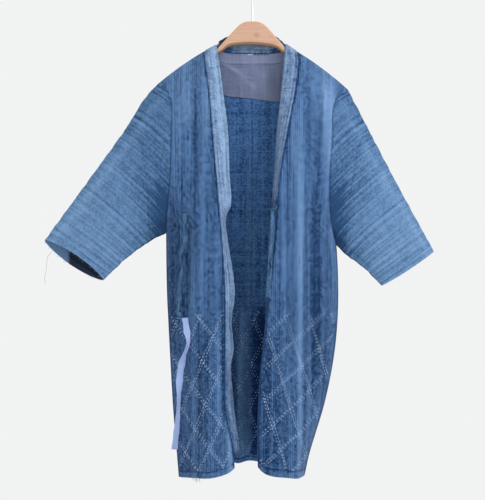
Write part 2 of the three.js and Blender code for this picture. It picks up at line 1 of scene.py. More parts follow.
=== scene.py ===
"""Indigo work coat with a long folded collar, hung open on a wooden hanger."""
import bpy
import numpy as np
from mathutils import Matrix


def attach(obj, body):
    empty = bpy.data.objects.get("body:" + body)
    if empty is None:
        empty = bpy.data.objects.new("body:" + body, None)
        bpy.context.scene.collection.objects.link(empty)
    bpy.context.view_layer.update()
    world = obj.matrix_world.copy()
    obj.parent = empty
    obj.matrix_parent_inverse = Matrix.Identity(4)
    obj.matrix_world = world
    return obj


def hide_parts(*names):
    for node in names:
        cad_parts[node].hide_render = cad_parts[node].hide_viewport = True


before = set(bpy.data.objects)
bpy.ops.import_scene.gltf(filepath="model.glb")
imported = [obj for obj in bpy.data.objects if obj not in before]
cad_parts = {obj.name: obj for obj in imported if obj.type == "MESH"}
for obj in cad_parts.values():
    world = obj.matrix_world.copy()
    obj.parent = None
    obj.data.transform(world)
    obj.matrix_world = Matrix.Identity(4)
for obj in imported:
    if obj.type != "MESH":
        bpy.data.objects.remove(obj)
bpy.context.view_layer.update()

MM = 0.001

# Camera, light and floor.
# The coat is seen level and straight from the front, 2.4 m away, in soft daylight that is
# a little stronger from the upper right. A pale floor lies well below the hem.
CAMERA_PLACE = (-0.0227, -2.4, -0.6126)
CAMERA_LENS = 78.48
DAYLIGHT = (0.885, 0.89, 0.895)
FLOOR_HEIGHT = -1.75
FLOOR_RADIUS, FLOOR_FADES_FROM = 1.7, 0.6
FLOOR_COLOUR = (0.8, 0.81, 0.82, 1)


def new_object(name, data):
    """An object with the given data, linked to the scene."""
    made = bpy.data.objects.new(name, data)
    bpy.context.scene.collection.objects.link(made)
    return made


camera = new_object("camera", bpy.data.cameras.new("camera"))
camera.data.sensor_fit = "HORIZONTAL"
camera.data.sensor_width = 36
camera.data.lens = CAMERA_LENS
camera.location = CAMERA_PLACE
camera.rotation_euler = (np.pi / 2, 0, 0)
bpy.context.scene.camera = camera
bpy.context.scene.view_settings.view_transform = "Standard"

world = bpy.data.worlds.new("daylight")
world.use_nodes = True
world.node_tree.nodes["Background"].inputs["Color"].default_value = (*DAYLIGHT, 1)
bpy.context.scene.world = world


def area_light(name, place, aim, size, power):
    """A square soft light at a place, turned so that its face looks at the aim."""
    light = new_object(name, bpy.data.lights.new(name, "AREA"))
    light.data.size = size
    light.data.energy = power
    light.location = place
    away = light.location - type(light.location)(aim)
    light.rotation_euler = away.to_track_quat("Z", "Y").to_euler()


area_light("window", (1.9, -1.9, 0.7), (0, 0, -0.6), 1.3, 46)
area_light("room", (-1.8, -2.2, -0.2), (0, 0, -0.7), 1.6, 9)


def set_inputs(tree, node, inputs):
    """Gives a node's inputs, by name or number, a value each or the socket that feeds it."""
    for key, value in inputs.items():
        if isinstance(value, bpy.types.NodeSocket):
            tree.links.new(value, node.inputs[key])
        else:
            node.inputs[key].default_value = value


def add_node(tree, kind, inputs=None, **settings):
    """A new node of a tree, with its settings and inputs."""
    node = tree.nodes.new("ShaderNode" + kind)
    for name, value in settings.items():
        setattr(node, name, value)
    set_inputs(tree, node, inputs or {})
    return node


def ramp(tree, value, start, end, low=0, high=1, **settings):
    """The output of a Map Range node: low at start, high at end, between them a share of the way."""
    return add_node(tree, "MapRange", {"Value": value, "From Min": start, "From Max": end,
                                       "To Min": low, "To Max": high}, **settings).outputs[0]


def new_material(name, inputs):
    """A material, its node tree, and its Principled surface with these inputs."""
    material = bpy.data.materials.new(name)
    material.use_nodes = True
    tree = material.node_tree
    surface = tree.nodes["Principled BSDF"]
    set_inputs(tree, surface, inputs)
    return material, tree, surface


turn = np.linspace(0, 2 * np.pi, 96, endpoint=False)
rim = np.stack([np.cos(turn), np.sin(turn), 0 * turn], 1) * FLOOR_RADIUS + [0, 0, FLOOR_HEIGHT]
floor = new_object("floor", bpy.data.meshes.new("floor"))
floor.data.from_pydata(rim.tolist(), [], [list(range(len(turn)))])
floor_paint, tree, paint = new_material("floor_paint", {"Base Color": FLOOR_COLOUR, "Roughness": 0.9})
place = add_node(tree, "TexCoord").outputs["Object"]
flat = add_node(tree, "VectorMath", {0: place, 1: (1, 1, 0)}, operation="MULTIPLY").outputs[0]
reach = add_node(tree, "VectorMath", {0: flat}, operation="LENGTH").outputs["Value"]
fade = ramp(tree, reach, FLOOR_FADES_FROM, FLOOR_RADIUS, interpolation_type="SMOOTHSTEP")
clear = add_node(tree, "BsdfTransparent").outputs[0]
mixed = add_node(tree, "MixShader", {0: fade, 1: paint.outputs[0], 2: clear}).outputs[0]
set_inputs(tree, tree.nodes["Material Output"], {"Surface": mixed})
floor.data.materials.append(floor_paint)

# Body: two halves.
# Each half is one long panel of densely stitched indigo cotton that runs from the front hem
# over the shoulder to the back hem. The halves are joined down the centre back, each is
# closed at the side below the arm, and the hem is turned up and stitched.
BODY_CLOTH = 1.8
COTTON_ROUGHNESS, COTTON_GLOSS, SHEEN_ROUGHNESS, BUMP_STRENGTH = 0.92, 0.12, 0.6, 0.7
RIDGE_TOP, RIDGE_SLOPE, RIDGE_DROOP, RIDGE_TILT = -115.7, 0.311, 0.0013, 0.026
SHOULDER_END = 216
UNDERARM, HEM = 7, 13
HEM_LIFT, HEM_SHARPNESS, LEFT_HEM_NARROWS = 16, 9, 2.4
PANEL_ROUND, BACK_SLOPE_ROUND, FOLD_FADE = 2.6, 2.2, 9
NECK_SHARE = 0.5
NECK_BACK_Y, NECK_BACK_Z = 20, -164
NECK_REST_AT, NECK_REST_REACH, NECK_REST_LIFT = 0.22, 0.17, 6.5
LAST_COLUMN = 21 / 22
PANEL_ROWS, FRONT_COLUMNS, NECK_COLUMNS = 262, 46, 30
HEM_HEIGHT, SECTION_TO_HEM = 16, 52
SEAM_DEPTH, SEAM_WIDTH = 1.4, 2.4
RIPPLE_HEIGHT = 0.9
RIGHT_SEED, LEFT_SEED = 3, 5
BACK_MIDDLE = -8
TINY = 1e-9
SLUB_CONTRAST, SLUB_OFFSET = 2.2, -1.48


def ridge_height(x):
    """Height of the shoulder ridge: a slope, and a droop with the square of x, tilted with the hanger."""
    return RIDGE_TOP - RIDGE_SLOPE * abs(x) - RIDGE_DROOP * x * x - RIDGE_TILT * x


# at, then x, y, z of the collar seam, then x, y, z of the armhole edge and side seam
RIGHT_FRONT = np.array([
    [0, -110, 0, ridge_height(-110), -SHOULDER_END, 0, ridge_height(-SHOULDER_END)],
    [1, -109, -11, -168, -211, -8, -243], [2, -106, -25, -196, -192, -20, -257],
    [3, -97, -46, -265, -181, -34, -290], [4, -90, -60, -345, -182, -43, -352],
    [5, -81, -70, -450, -184, -44, -445], [6, -73, -75, -540, -193, -25, -530],
    [7, -69, -76, -580, -195, -5, -573], [8, -62, -78, -700, -193, -10, -697],
    [9, -61, -79, -780, -189, -10, -785], [10, -62, -80, -870, -184, -10, -880],
    [11, -60, -81, -965, -178, -10, -980], [12, -43, -82, -1055, -170, -10, -1075],
    [13, -40, -82, -1106, -166, -10, -1125]])
LEFT_FRONT = np.array([
    [0, 101, 0, ridge_height(101), SHOULDER_END, 0, ridge_height(SHOULDER_END)],
    [1, 102, -11, -169, 211, -8, -254], [2, 104, -25, -198, 192, -20, -267],
    [3, 94, -46, -267, 180, -34, -300], [4, 78, -60, -347, 178, -43, -362],
    [5, 60, -70, -447, 172, -45, -455], [6, 52, -75, -540, 177, -27, -552],
    [7, 48, -76, -592, 189, -5, -600], [8, 37, -78, -700, 193, -10, -700],
    [9, 29, -79, -780, 190, -10, -790], [10, 18, -80, -872, 180, -10, -872],
    [11, 12, -81, -962, 161, -10, -962], [12, 10, -82, -1052, 130, -10, -1065],
    [13, 11, -82, -1104, 117, -10, -1121]])
CENTRE_BACK = np.array([
    [1, 0, 23, -186], [2, 0, 26, -222], [3, 0, 29, -266], [5, 0, 33, -450], [7, 0, 35, -586],
    [8, -2, 35, -700], [9, -4, 35, -784], [11, -13, 36, -967], [12, -18, 36, -1062],
    [13, -22, 36, -1099]])

# top x and z, bottom x and z, width, and how far the fold stands out
FRONT_FOLDS = [
    (-126, -250, -128, -500, 9, -6), (-128, -470, -154, -900, 10, -9),
    (-112, -250, -136, -800, 11, 5), (-104, -700, -96, -1140, 16, 6),
    (-70, -760, -66, -1140, 10, -4), (-150, -880, -138, -1140, 13, -5),
    (104, -210, 104, -1140, 13, 9), (84, -330, 72, -1140, 12, -5),
    (131, -300, 128, -900, 14, -6), (152, -330, 158, -880, 12, 4), (44, -700, 38, -1140, 11, 4)]
BACK_FOLDS = [
    (-29, -800, -33, -1140, 13, -24), (-3, -700, -4, -1140, 15, 8),
    (-92, -330, -98, -1140, 18, 8), (-132, -520, -120, -1140, 15, -7),
    (60, -400, 40, -1140, 17, -8), (98, -300, 78, -1140, 18, 9), (140, -480, 98, -1140, 13, -6)]

# painted light and shade of the cloth, in the same columns as the folds: lighter (above 0) stretches are
# painted highlight on lit ridges and shoulders, darker ones painted shade in the valleys and at the shaded
# side, and the painted shadow of the tie; the last is how much lighter or darker
RIGHT_LIGHT_AND_SHADE = [
    (-101, -190, -103, -360, 8, 0.3), (-163, -240, -160, -420, 4, 0.3),
    (-127, -205, -128, -500, 3, -0.3), (-146, -200, -142, -330, 9, 0.15),
    (-174, -440, -176, -800, 12, -0.62), (-161, -500, -163, -770, 7, -0.25),
    (-139, -520, -154, -800, 3, -0.2), (-122, -560, -128, -820, 5, 0.15),
    (-82, -720, -76, -1010, 8, 0.22), (-104, -740, -102, -960, 8, -0.15),
    (-56, -940, -44, -1140, 9, 0.6), (-72, -560, -62, -1010, 4, -0.3),
    (-104, -1000, -104, -1150, 9, 0.15), (-150, -1000, -140, -1150, 8, -0.15),
    (-112, -640, -108, -1200, 95, -0.2), (-140, -420, -150, -640, 30, -0.08),
    (-150, -130, -150, -330, 60, 0.15)]
LEFT_LIGHT_AND_SHADE = [
    (104, -200, 104, -1160, 7, 0.5), (97, -720, 98, -1110, 14, 0.12), (166, -190, 176, -430, 15, 0.6),
    (178, -430, 176, -600, 6, 0.35), (134, -230, 140, -420, 10, -0.15), (137, -440, 146, -900, 19, -0.42),
    (28, -760, 22, -1160, 20, -0.35), (88, -240, 92, -440, 6, 0.25), (118, -200, 120, -330, 5, -0.2),
    (150, -780, 128, -1050, 6, 0.2), (70, -480, 64, -900, 9, 0.12), (52, -560, 40, -900, 5, -0.15),
    (96, -620, 76, -1200, 110, -0.2), (48, -300, 44, -620, 12, -0.2), (150, -120, 160, -300, 40, 0.15)]
BACK_LIGHT_AND_SHADE = [
    (0, -260, -10, -1150, 10, 0.2), (-92, -300, -98, -1150, 16, 0.25), (98, -260, 78, -1150, 16, 0.3),
    (-140, -420, -130, -1000, 18, -0.2), (50, -400, 36, -1100, 14, -0.2)]


def lerp(a, b, share):
    """The value that lies a share of the way from a to b."""
    return a + (b - a) * share


def smooth(start, end, value):
    """0 before start, 1 after end, and three t squared less two t cubed between them."""
    t = np.clip((value - start) / (end - start), 0, 1)
    return t * t * (3 - 2 * t)


def hump(value, middle, width):
    """A bell: e to the power of minus the square of the distance from the middle over the width."""
    return np.exp(-((value - middle) / width) ** 2)


def curve(rows, at):
    """Smooth curve through a table's rows: a cubic from row to row, whose slope at each row is that
    of the line from the row before it to the row after it."""
    rows, at = np.asarray(rows, float), np.asarray(at, float)
    knots, values = rows[:, 0], rows[:, 1:]
    i = np.clip(np.searchsorted(knots, at, side="right") - 1, 0, len(knots) - 2)
    before, after = np.maximum(i - 1, 0), np.minimum(i + 2, len(knots) - 1)
    span = (knots[i + 1] - knots[i])[..., None]
    t = np.clip((at - knots[i])[..., None] / span, 0, 1)
    slope_a = (values[i + 1] - values[before]) / (knots[i + 1] - knots[before])[..., None] * span
    slope_b = (values[after] - values[i]) / (knots[after] - knots[i])[..., None] * span
    return ((2 * t**3 - 3 * t**2 + 1) * values[i] + (t**3 - 2 * t**2 + t) * slope_a
            + (3 * t**2 - 2 * t**3) * values[i + 1] + (t**3 - t**2) * slope_b)


def fold_depth(folds, x, z):
    """Sum of the folds: each is a bell across a line from its top to its bottom, and fades in and
    out along it."""
    depth = np.zeros(np.broadcast(x, z).shape)
    for top_x, top_z, bottom_x, bottom_z, width, out in folds:
        share = (top_z - z) / (top_z - bottom_z)
        middle = lerp(top_x, bottom_x, np.clip(share, 0, 1))
        depth += out * smooth(0, 0.35, share) * (1 - smooth(0.85, 1.2, share)) * hump(x, middle, width)
    return depth


def front_surface(sections, at, u):
    """Front panel: straight across from the seam (u 0) to the side (u 1), rounding back with a
    power of u, lifted to the ridge at the top and to a rounded corner at the hem, with the folds."""
    at, u = np.broadcast_arrays(np.asarray(at, float), np.asarray(u, float))
    s = curve(sections, at)
    x = lerp(s[..., 0], s[..., 3], u)
    z = lerp(s[..., 2], s[..., 5], u) + HEM_LIFT * (1 - u) ** HEM_SHARPNESS * smooth(12, HEM, at)
    top = sections[0]
    ridge = ridge_height(lerp(top[1], top[4], u)) - lerp(top[3], top[6], u)
    z = z + ridge * (1 - smooth(1, 2, at))
    narrows = LEFT_HEM_NARROWS * smooth(10, HEM, at) if sections is LEFT_FRONT else 0
    y = lerp(s[..., 1], s[..., 4], u ** (PANEL_ROUND + narrows))
    y = y - fold_depth(FRONT_FOLDS, x, z) * np.minimum(1, FOLD_FADE * u * (1 - u))
    return np.stack([x, y, z], -1)


def neck_seam(sections, s):
    """Neck seam from the ridge (s 0) to the centre back (s 1): x falls evenly, y swells with a
    cube, z with a square, and a bell lifts it where it rests on the hanger's arm."""
    s = np.asarray(s, float)
    rest = hump(s, NECK_REST_AT, NECK_REST_REACH) * np.minimum(1, 6 * s)
    top = sections[0]
    return np.stack([top[1] * (1 - s), NECK_BACK_Y * (1 - (1 - s) ** 3),
                     lerp(NECK_BACK_Z, ridge_height(top[1]), (1 - s) ** 2) + NECK_REST_LIFT * rest], -1)


def back_outer(sections, at):
    """Armhole edge of the back: the front's edge mirrored in depth. They meet at the underarm."""
    s = curve(sections, at)
    y = np.where(np.asarray(at) >= UNDERARM, s[..., 4],
                 -s[..., 4] + 2 * sections[UNDERARM, 5] * (np.asarray(at) / UNDERARM) ** 4)
    return np.stack([s[..., 3], y, s[..., 5]], -1)


def back_surface(sections, at, a):
    """Half of the back from the centre (a 0) to the side (a 1): across each section y and z follow
    powers of a. The bow of the neck seam and shoulder ridge fades out over the first sections."""
    at, a = np.broadcast_arrays(np.asarray(at, float), np.asarray(a, float))

    def plain(row):
        """The back at a section before the bow is added."""
        middle, outer = curve(CENTRE_BACK, row), back_outer(sections, row)
        return np.stack([lerp(middle[..., 0], outer[..., 0], a),
                         lerp(middle[..., 1], outer[..., 1], a ** PANEL_ROUND),
                         lerp(middle[..., 2], outer[..., 2], a ** BACK_SLOPE_ROUND)], -1)

    neck = neck_seam(sections, 1 - np.minimum(a, NECK_SHARE) / NECK_SHARE)
    shoulder = front_surface(sections, 0 * at, np.maximum(a - NECK_SHARE, 0) / (1 - NECK_SHARE))
    top = np.where((a < NECK_SHARE)[..., None], neck, shoulder)
    beside = smooth(0.3, NECK_SHARE, a)
    step = np.stack([0 * a, lerp(3, 9, beside), lerp(-22, -5.5, beside)], -1)
    to_arm = np.clip((a - LAST_COLUMN) / (1 - LAST_COLUMN), 0, 1)[..., None]
    step = lerp(step, back_outer(sections, 0 * at + 1) - top, to_arm)
    bow = (top + step - plain(0 * at + 1)) * (1 - smooth(1, 4, at))[..., None]
    point = plain(at) + bow
    point[..., 1] += fold_depth(BACK_FOLDS, point[..., 0], point[..., 2]) * (1 - a ** 8)
    return np.where((at <= 1)[..., None], top + step * at[..., None], point)


def run_length(points):
    """Distance along a line of points, from its first one to each of them."""
    return np.concatenate([[0], np.cumsum(np.linalg.norm(np.diff(points, axis=0), axis=1))])


def even_rows(sections, start, end, count):
    """Section values an even distance apart, measured down the middle of the front. The underarm
    is one of them."""
    down = run_length((sections[:, 1:4] + sections[:, 4:7]) / 2)
    low, high = np.interp([start, end], sections[:, 0], down)
    rows = np.interp(np.linspace(low, high, count), down, sections[:, 0])
    return np.union1d(rows, [UNDERARM]) if start < UNDERARM < end else rows


def denser_ends(count):
    """Steps from 0 to 1 that are half as far apart near both ends."""
    t = np.linspace(0, 1, count)
    return t - 0.08 * np.sin(2 * np.pi * t)


def unit(vectors):
    """The same directions with a length of one."""
    return vectors / np.maximum(np.linalg.norm(vectors, axis=-1, keepdims=True), TINY)


def grid_normals(points, flip=False):
    """Unit normals of a grid: its steps across times its steps down (cross product), turned round
    if flip is set."""
    across, down = np.gradient(points, axis=1), np.gradient(points, axis=0)
    return unit(np.cross(across, down) * (-1 if flip else 1))


def ripple(across, down, size, seed):
    """Unevenness of hung cloth: the sum of five waves of falling length, each with its own slant
    and start, which wander slowly along the cloth."""
    rng = np.random.default_rng(seed)
    total = 0
    for share in (1, 0.71, 0.5, 0.36, 0.24):
        start, drift, slant = rng.uniform(0, 6.28), rng.uniform(0, 6.28), rng.uniform(-0.1, 0.1)
        wander = 1.3 * np.sin(2 * np.pi * down / (size * share * 11) + drift)
        phase = 2 * np.pi * (across + slant * down) / (size * share)
        total = total + share * np.sin(phase + start + wander)
    return total / 2


def running(steps):
    """Rows of running sums of steps, each from 0."""
    return np.pad(np.cumsum(steps, axis=1), ((0, 0), (1, 0)))


def pressed(points, relief, wear_and_painted_light, flip, pattern=None, held=False):
    """A grid of cloth moved along its normals by its relief. If held, its first row and last column
    stay, where it is sewn to others. The pattern's place is, if not given, the distance across
    along the cloth, counted from the x of its first column, and z."""
    moved = points + grid_normals(points, flip) * relief[..., None]
    if held:
        moved[0], moved[:, -1] = points[0], points[:, -1]
    if pattern is None:
        step = np.linalg.norm(np.diff(points[..., :2], axis=1), axis=-1)
        step = step * np.sign(points[:, -1:, 0] - points[:, :1, 0])
        pattern = np.stack([points[:, :1, 0] + running(step), points[..., 2]], -1)
    return moved, pattern, np.clip(wear_and_painted_light, -1, 1), flip


def mesh_piece(name, points, faces, pattern, wear_and_painted_light):
    """A smooth mesh of points in millimetres. The pattern's place (UV) has a row for every corner of
    the faces, and the wear and painted light, if there is any, a value for every point."""
    mesh = bpy.data.meshes.new(name)
    mesh.from_pydata((points * MM).tolist(), [], faces)
    mesh.uv_layers.new(name="pattern").data.foreach_set("uv", (pattern * MM).ravel())
    if wear_and_painted_light is not None:
        mesh.attributes.new("wear_and_painted_light", "FLOAT", "POINT").data.foreach_set("value", wear_and_painted_light.ravel())
    mesh.shade_smooth()
    return new_object(name, mesh)


def sewn_surface(name, *sheets):
    """One mesh of quads from pressed grids that share edges. Points that round to the same
    micrometre become one."""
    points = np.concatenate([sheet[0].reshape(-1, 3) for sheet in sheets])
    pattern = np.concatenate([sheet[1].reshape(-1, 2) for sheet in sheets])
    wear_and_painted_light = np.concatenate([sheet[2].ravel() for sheet in sheets])
    quads, start = [], 0
    for grid, _, _, flip in sheets:
        index = start + np.arange(grid[..., 0].size).reshape(grid.shape[:2])
        cell = np.stack([index[:-1, :-1], index[:-1, 1:], index[1:, 1:], index[1:, :-1]], -1)
        quads.append(cell[..., ::-1] if flip else cell)
        start += index.size
    quads = np.concatenate([cell.reshape(-1, 4) for cell in quads])
    _, first, joined = np.unique(np.round(points * 1e3).astype(np.int64), axis=0, return_index=True,
                                 return_inverse=True)
    faces = joined.ravel()[quads].tolist()
    return mesh_piece(name, points[first], faces, pattern[quads], wear_and_painted_light[first])


def give_thickness(piece, millimetres, *materials):
    """Makes a surface a cloth wall of that thickness about it; a second material is for its inner face."""
    for material in materials:
        piece.data.materials.append(material)
    wall = piece.modifiers.new("cloth", "SOLIDIFY")
    wall.thickness = millimetres * MM
    wall.offset = 0
    wall.use_quality_normals = True
    wall.material_offset = len(materials) - 1
    return piece


def shader_group(name, inputs, outputs):
    """An empty node group with its named inputs and outputs, and its two end nodes."""
    tree = bpy.data.node_groups.new(name, "ShaderNodeTree")
    for socket, (kind, value) in inputs.items():
        made = tree.interface.new_socket(socket, in_out="INPUT", socket_type="NodeSocket" + kind)
        made.default_value = value
    for socket, kind in outputs.items():
        tree.interface.new_socket(socket, in_out="OUTPUT", socket_type="NodeSocket" + kind)
    return tree, tree.nodes.new("NodeGroupInput").outputs, tree.nodes.new("NodeGroupOutput").inputs


def calc(tree, operation, *values, clamp=False):
    """The output of a Math node over the given values and sockets."""
    return add_node(tree, "Math", dict(enumerate(values)), operation=operation, use_clamp=clamp).outputs[0]


# Uneven yarns: noise that is stretched along the yarn, coarse and fine together
tree, given, result = shader_group(
    "slub yarns", {"Vector": ("Vector", (0, 0, 0)), "Across": ("Float", 300), "Along": ("Float", 12)},
    {"Streak": "Float"})
scale = add_node(tree, "CombineXYZ", {"X": given["Across"], "Y": given["Along"], "Z": 1}).outputs[0]
placed = add_node(tree, "VectorMath", {0: given["Vector"], 1: scale}, operation="MULTIPLY").outputs[0]
fine = add_node(tree, "TexNoise", {"Vector": placed, "Scale": 1, "Detail": 3, "Roughness": 0.6})
coarse = add_node(tree, "TexNoise", {"Vector": placed, "Scale": 0.23, "Detail": 2, "Roughness": 0.5})
both = calc(tree, "MULTIPLY_ADD", coarse.outputs[0], 0.9, calc(tree, "MULTIPLY", fine.outputs[0], 0.9))
tree.links.new(calc(tree, "MULTIPLY_ADD", both, SLUB_CONTRAST, SLUB_OFFSET, clamp=True), result["Streak"])

# Dense hand stitching: short stitches in narrow columns, set off from column to column so that they
# run in slanted rows. The slant turns round every five columns, as in a herringbone.
tree, given, result = shader_group(
    "stitch bands", {"Vector": ("Vector", (0, 0, 0)), "Column": ("Float", 0.0045),
                     "Pitch": ("Float", 0.0043), "Slant": ("Float", 0.62)},
    {"Height": "Float", "Tone": "Float"})
where = add_node(tree, "SeparateXYZ", {0: given["Vector"]}).outputs
across = calc(tree, "DIVIDE", where["X"], given["Column"])
inside = calc(tree, "FRACT", across)
turned = calc(tree, "PINGPONG", calc(tree, "MULTIPLY_ADD", across, 0.2, 400.5), 1)
down = calc(tree, "MULTIPLY_ADD", calc(tree, "MULTIPLY", turned, 5), given["Slant"],
            calc(tree, "DIVIDE", where["Y"], given["Pitch"]))
round_row = calc(tree, "SINE", calc(tree, "MULTIPLY", calc(tree, "FRACT", down), np.pi))
round_column = calc(tree, "SINE", calc(tree, "MULTIPLY", inside, np.pi))
height = calc(tree, "MULTIPLY", calc(tree, "POWER", round_row, 0.8),
              calc(tree, "POWER", round_column, 0.35))
cell = add_node(tree, "CombineXYZ", {"X": calc(tree, "FLOOR", across), "Y": calc(tree, "FLOOR", down)})
chance = add_node(tree, "TexWhiteNoise", {"Vector": cell.outputs[0]}, noise_dimensions="2D")
uneven = calc(tree, "MULTIPLY_ADD", chance.outputs["Value"], 0.7, 0.45)
tree.links.new(height, result["Height"])
tree.links.new(calc(tree, "MULTIPLY", height, uneven), result["Tone"])

# Plain weave: yarns that pass over and under each other like a chessboard
tree, given, result = shader_group(
    "plain weave", {"Vector": ("Vector", (0, 0, 0)), "Pitch": ("Float", 0.0012)},
    {"Height": "Float", "Tone": "Float"})
count = calc(tree, "DIVIDE", 1.0, given["Pitch"])
placed = add_node(tree, "VectorMath", {0: given["Vector"], "Scale": count}, operation="SCALE").outputs[0]
where = add_node(tree, "SeparateXYZ", {0: placed}).outputs
waves = [calc(tree, "SINE", calc(tree, "MULTIPLY", where[axis], np.pi)) for axis in "XY"]
cell = add_node(tree, "VectorMath", {0: placed}, operation="FLOOR").outputs[0]
chance = add_node(tree, "TexWhiteNoise", {"Vector": cell}, noise_dimensions="2D")
tree.links.new(calc(tree, "ABSOLUTE", calc(tree, "MULTIPLY", *waves)), result["Height"])
tree.links.new(chance.outputs["Value"], result["Tone"])


def blend(tree, share, first, second):
    """The colour that lies a share of the way from the first to the second."""
    return add_node(tree, "Mix", {0: share, 6: first, 7: second}, data_type="RGBA").outputs[2]


# Dye fade and painted light: deep to middle colour with the tone of the yarns, and towards the pale colour
# by a share that is real wear and painted highlight
black = ("Color", (0, 0, 0, 1))
tree, given, result = shader_group(
    "faded dye", {"Deep": black, "Middle": black, "Pale": black, "Tone": ("Float", 0), "Fade and highlight": ("Float", 0)},
    {"Color": "Color"})
yarn = blend(tree, given["Tone"], given["Deep"], given["Middle"])
tree.links.new(blend(tree, given["Fade and highlight"], yarn, given["Pale"]), result["Color"])


def cloth_material(name, deep, middle, pale, weave="plain weave", pitch=None, weave_share=0.5,
                   streak=(300, 12, 0.6), cross=None, even=0.0, relief=0.0005, blotch=(9, 0.3),
                   sheen=0.04):
    """Dyed cotton. Tone = even + weave_share * weave + streak's share * streaks along the yarn (and
    cross's share * streaks across it) + blotches + the piece's wear and painted light where that is
    under 0, which is painted shade. Over 0 it fades the cloth towards pale, for real wear and for
    painted highlight. The pitch is that of the weave's cells, in metres."""
    material, tree, surface = new_material(name, {
        "Roughness": COTTON_ROUGHNESS, "Specular IOR Level": COTTON_GLOSS, "Sheen Weight": sheen,
        "Sheen Roughness": SHEEN_ROUGHNESS})
    groups = bpy.data.node_groups
    spot = add_node(tree, "UVMap", uv_map="pattern").outputs[0]
    woven = add_node(tree, "Group", {"Vector": spot, **({"Pitch": pitch} if pitch else {})},
                     node_tree=groups[weave]).outputs
    tone = calc(tree, "MULTIPLY_ADD", woven["Tone"], weave_share, even)
    for across, along, share in filter(None, (streak, cross)):
        slub = add_node(tree, "Group", {"Vector": spot, "Across": across, "Along": along},
                        node_tree=groups["slub yarns"])
        tone = calc(tree, "MULTIPLY_ADD", slub.outputs[0], share, tone)
    cloud = add_node(tree, "TexNoise", {"Vector": spot, "Scale": blotch[0], "Detail": 4})
    tone = calc(tree, "MULTIPLY_ADD", calc(tree, "SUBTRACT", cloud.outputs[0], 0.5), blotch[1] * 2, tone)
    worn_and_lit = add_node(tree, "Attribute", attribute_name="wear_and_painted_light").outputs["Fac"]
    # below 0 the piece's wear and painted light deepens the tone (painted shade); above 0 it pales the cloth
    # (real wear and painted highlight)
    tone = calc(tree, "ADD", tone, calc(tree, "MINIMUM", worn_and_lit, 0.0), clamp=True)
    amount = calc(tree, "MULTIPLY", worn_and_lit, calc(tree, "MULTIPLY_ADD", tone, 0.7, 0.65), clamp=True)
    dye = add_node(tree, "Group", {"Deep": (*deep, 1), "Middle": (*middle, 1), "Pale": (*pale, 1),
                                   "Tone": tone, "Fade and highlight": amount}, node_tree=groups["faded dye"])
    bump = add_node(tree, "Bump", {"Height": woven["Height"], "Distance": relief, "Strength": BUMP_STRENGTH})
    set_inputs(tree, surface, {"Base Color": dye.outputs[0], "Normal": bump.outputs[0]})
    return material


stitched_indigo = cloth_material(
    "stitched_indigo", (0.004, 0.024, 0.08), (0.09, 0.195, 0.395), (0.17, 0.3, 0.52), "stitch bands",
    weave_share=1.15, streak=(270, 5, 0.7), cross=(460, 330, 0.35), even=-0.5, relief=0.0008,
    blotch=(9, 0.16))
inside_indigo = cloth_material(
    "inside_indigo", (0.003, 0.022, 0.085), (0.075, 0.19, 0.43), (0.14, 0.28, 0.5),
    streak=(240, 7, 0.4), cross=(6, 300, 0.4), pitch=0.0038, even=-0.07, sheen=0)


def seam_relief(distance):
    """A seam's groove: a bell over the distance from it, sunk below the cloth."""
    return -SEAM_DEPTH * hump(distance, 0, SEAM_WIDTH)


def hem_relief(at):
    """The turned hem: a groove along its stitching and slightly fuller cloth below."""
    distance = (at - HEM) * SECTION_TO_HEM + HEM_HEIGHT
    return -1.1 * hump(distance, 0, 1.6) + 0.5 * smooth(1, 4, distance)


def front_relief(sections, rows, u, points, seed):
    """Seams, hem and ripples of a front, in millimetres out of the plain panel."""
    ends = curve(sections, rows)
    width = np.abs(ends[..., 3] - ends[..., 0])
    relief = seam_relief(u * width) + 0.6 * seam_relief((1 - u) * width) + hem_relief(rows)
    soft = smooth(0, 1.5, rows) * np.minimum(1, 6 * u * (1 - u))
    return relief + RIPPLE_HEIGHT * soft * ripple(points[..., 0], points[..., 2], 34, seed)


def front_sheet(sections, flip, seed, tones):
    """One front: the panel with its seams, hem and ripples pressed in along its normals. Its wear and
    painted light is the painted highlight and shade of its lighter and darker stretches, dark in the
    seams and rubbed at the hem."""
    u, rows = np.meshgrid(denser_ends(FRONT_COLUMNS), even_rows(sections, 0, HEM, PANEL_ROWS))
    points = front_surface(sections, rows, u)
    width = np.abs(points[:, -1:, 0] - points[:, :1, 0])
    beside = 0.2 + 0.7 * smooth(-270, -330, points[..., 2])
    seams = hump(u * width, 0, 2.8) + beside * hump((1 - u) * width, 0, 2.4) * smooth(0, 1, rows)
    # the stretches are painted highlight and shade; the seams are dark and the hem rubbed
    wear_and_painted_light = fold_depth(tones, points[..., 0], points[..., 2]) - 0.8 * seams + hem_wear(rows)
    return pressed(points, front_relief(sections, rows, u, points, seed), wear_and_painted_light, flip, held=True)


def back_relief(rows, a, points, seed):
    """Seams, hem and ripples of the back, in millimetres out of the plain cloth."""
    width = np.abs(points[..., 0] - BACK_MIDDLE) / np.maximum(a, 0.02)
    relief = 0.15 * seam_relief(a * width) + 0.6 * seam_relief((1 - a) * width) + hem_relief(rows)
    soft = smooth(0, 2, rows) * np.minimum(1, 6 * a * (1 - a))
    return relief + RIPPLE_HEIGHT * soft * ripple(points[..., 0], points[..., 2], 40, seed)


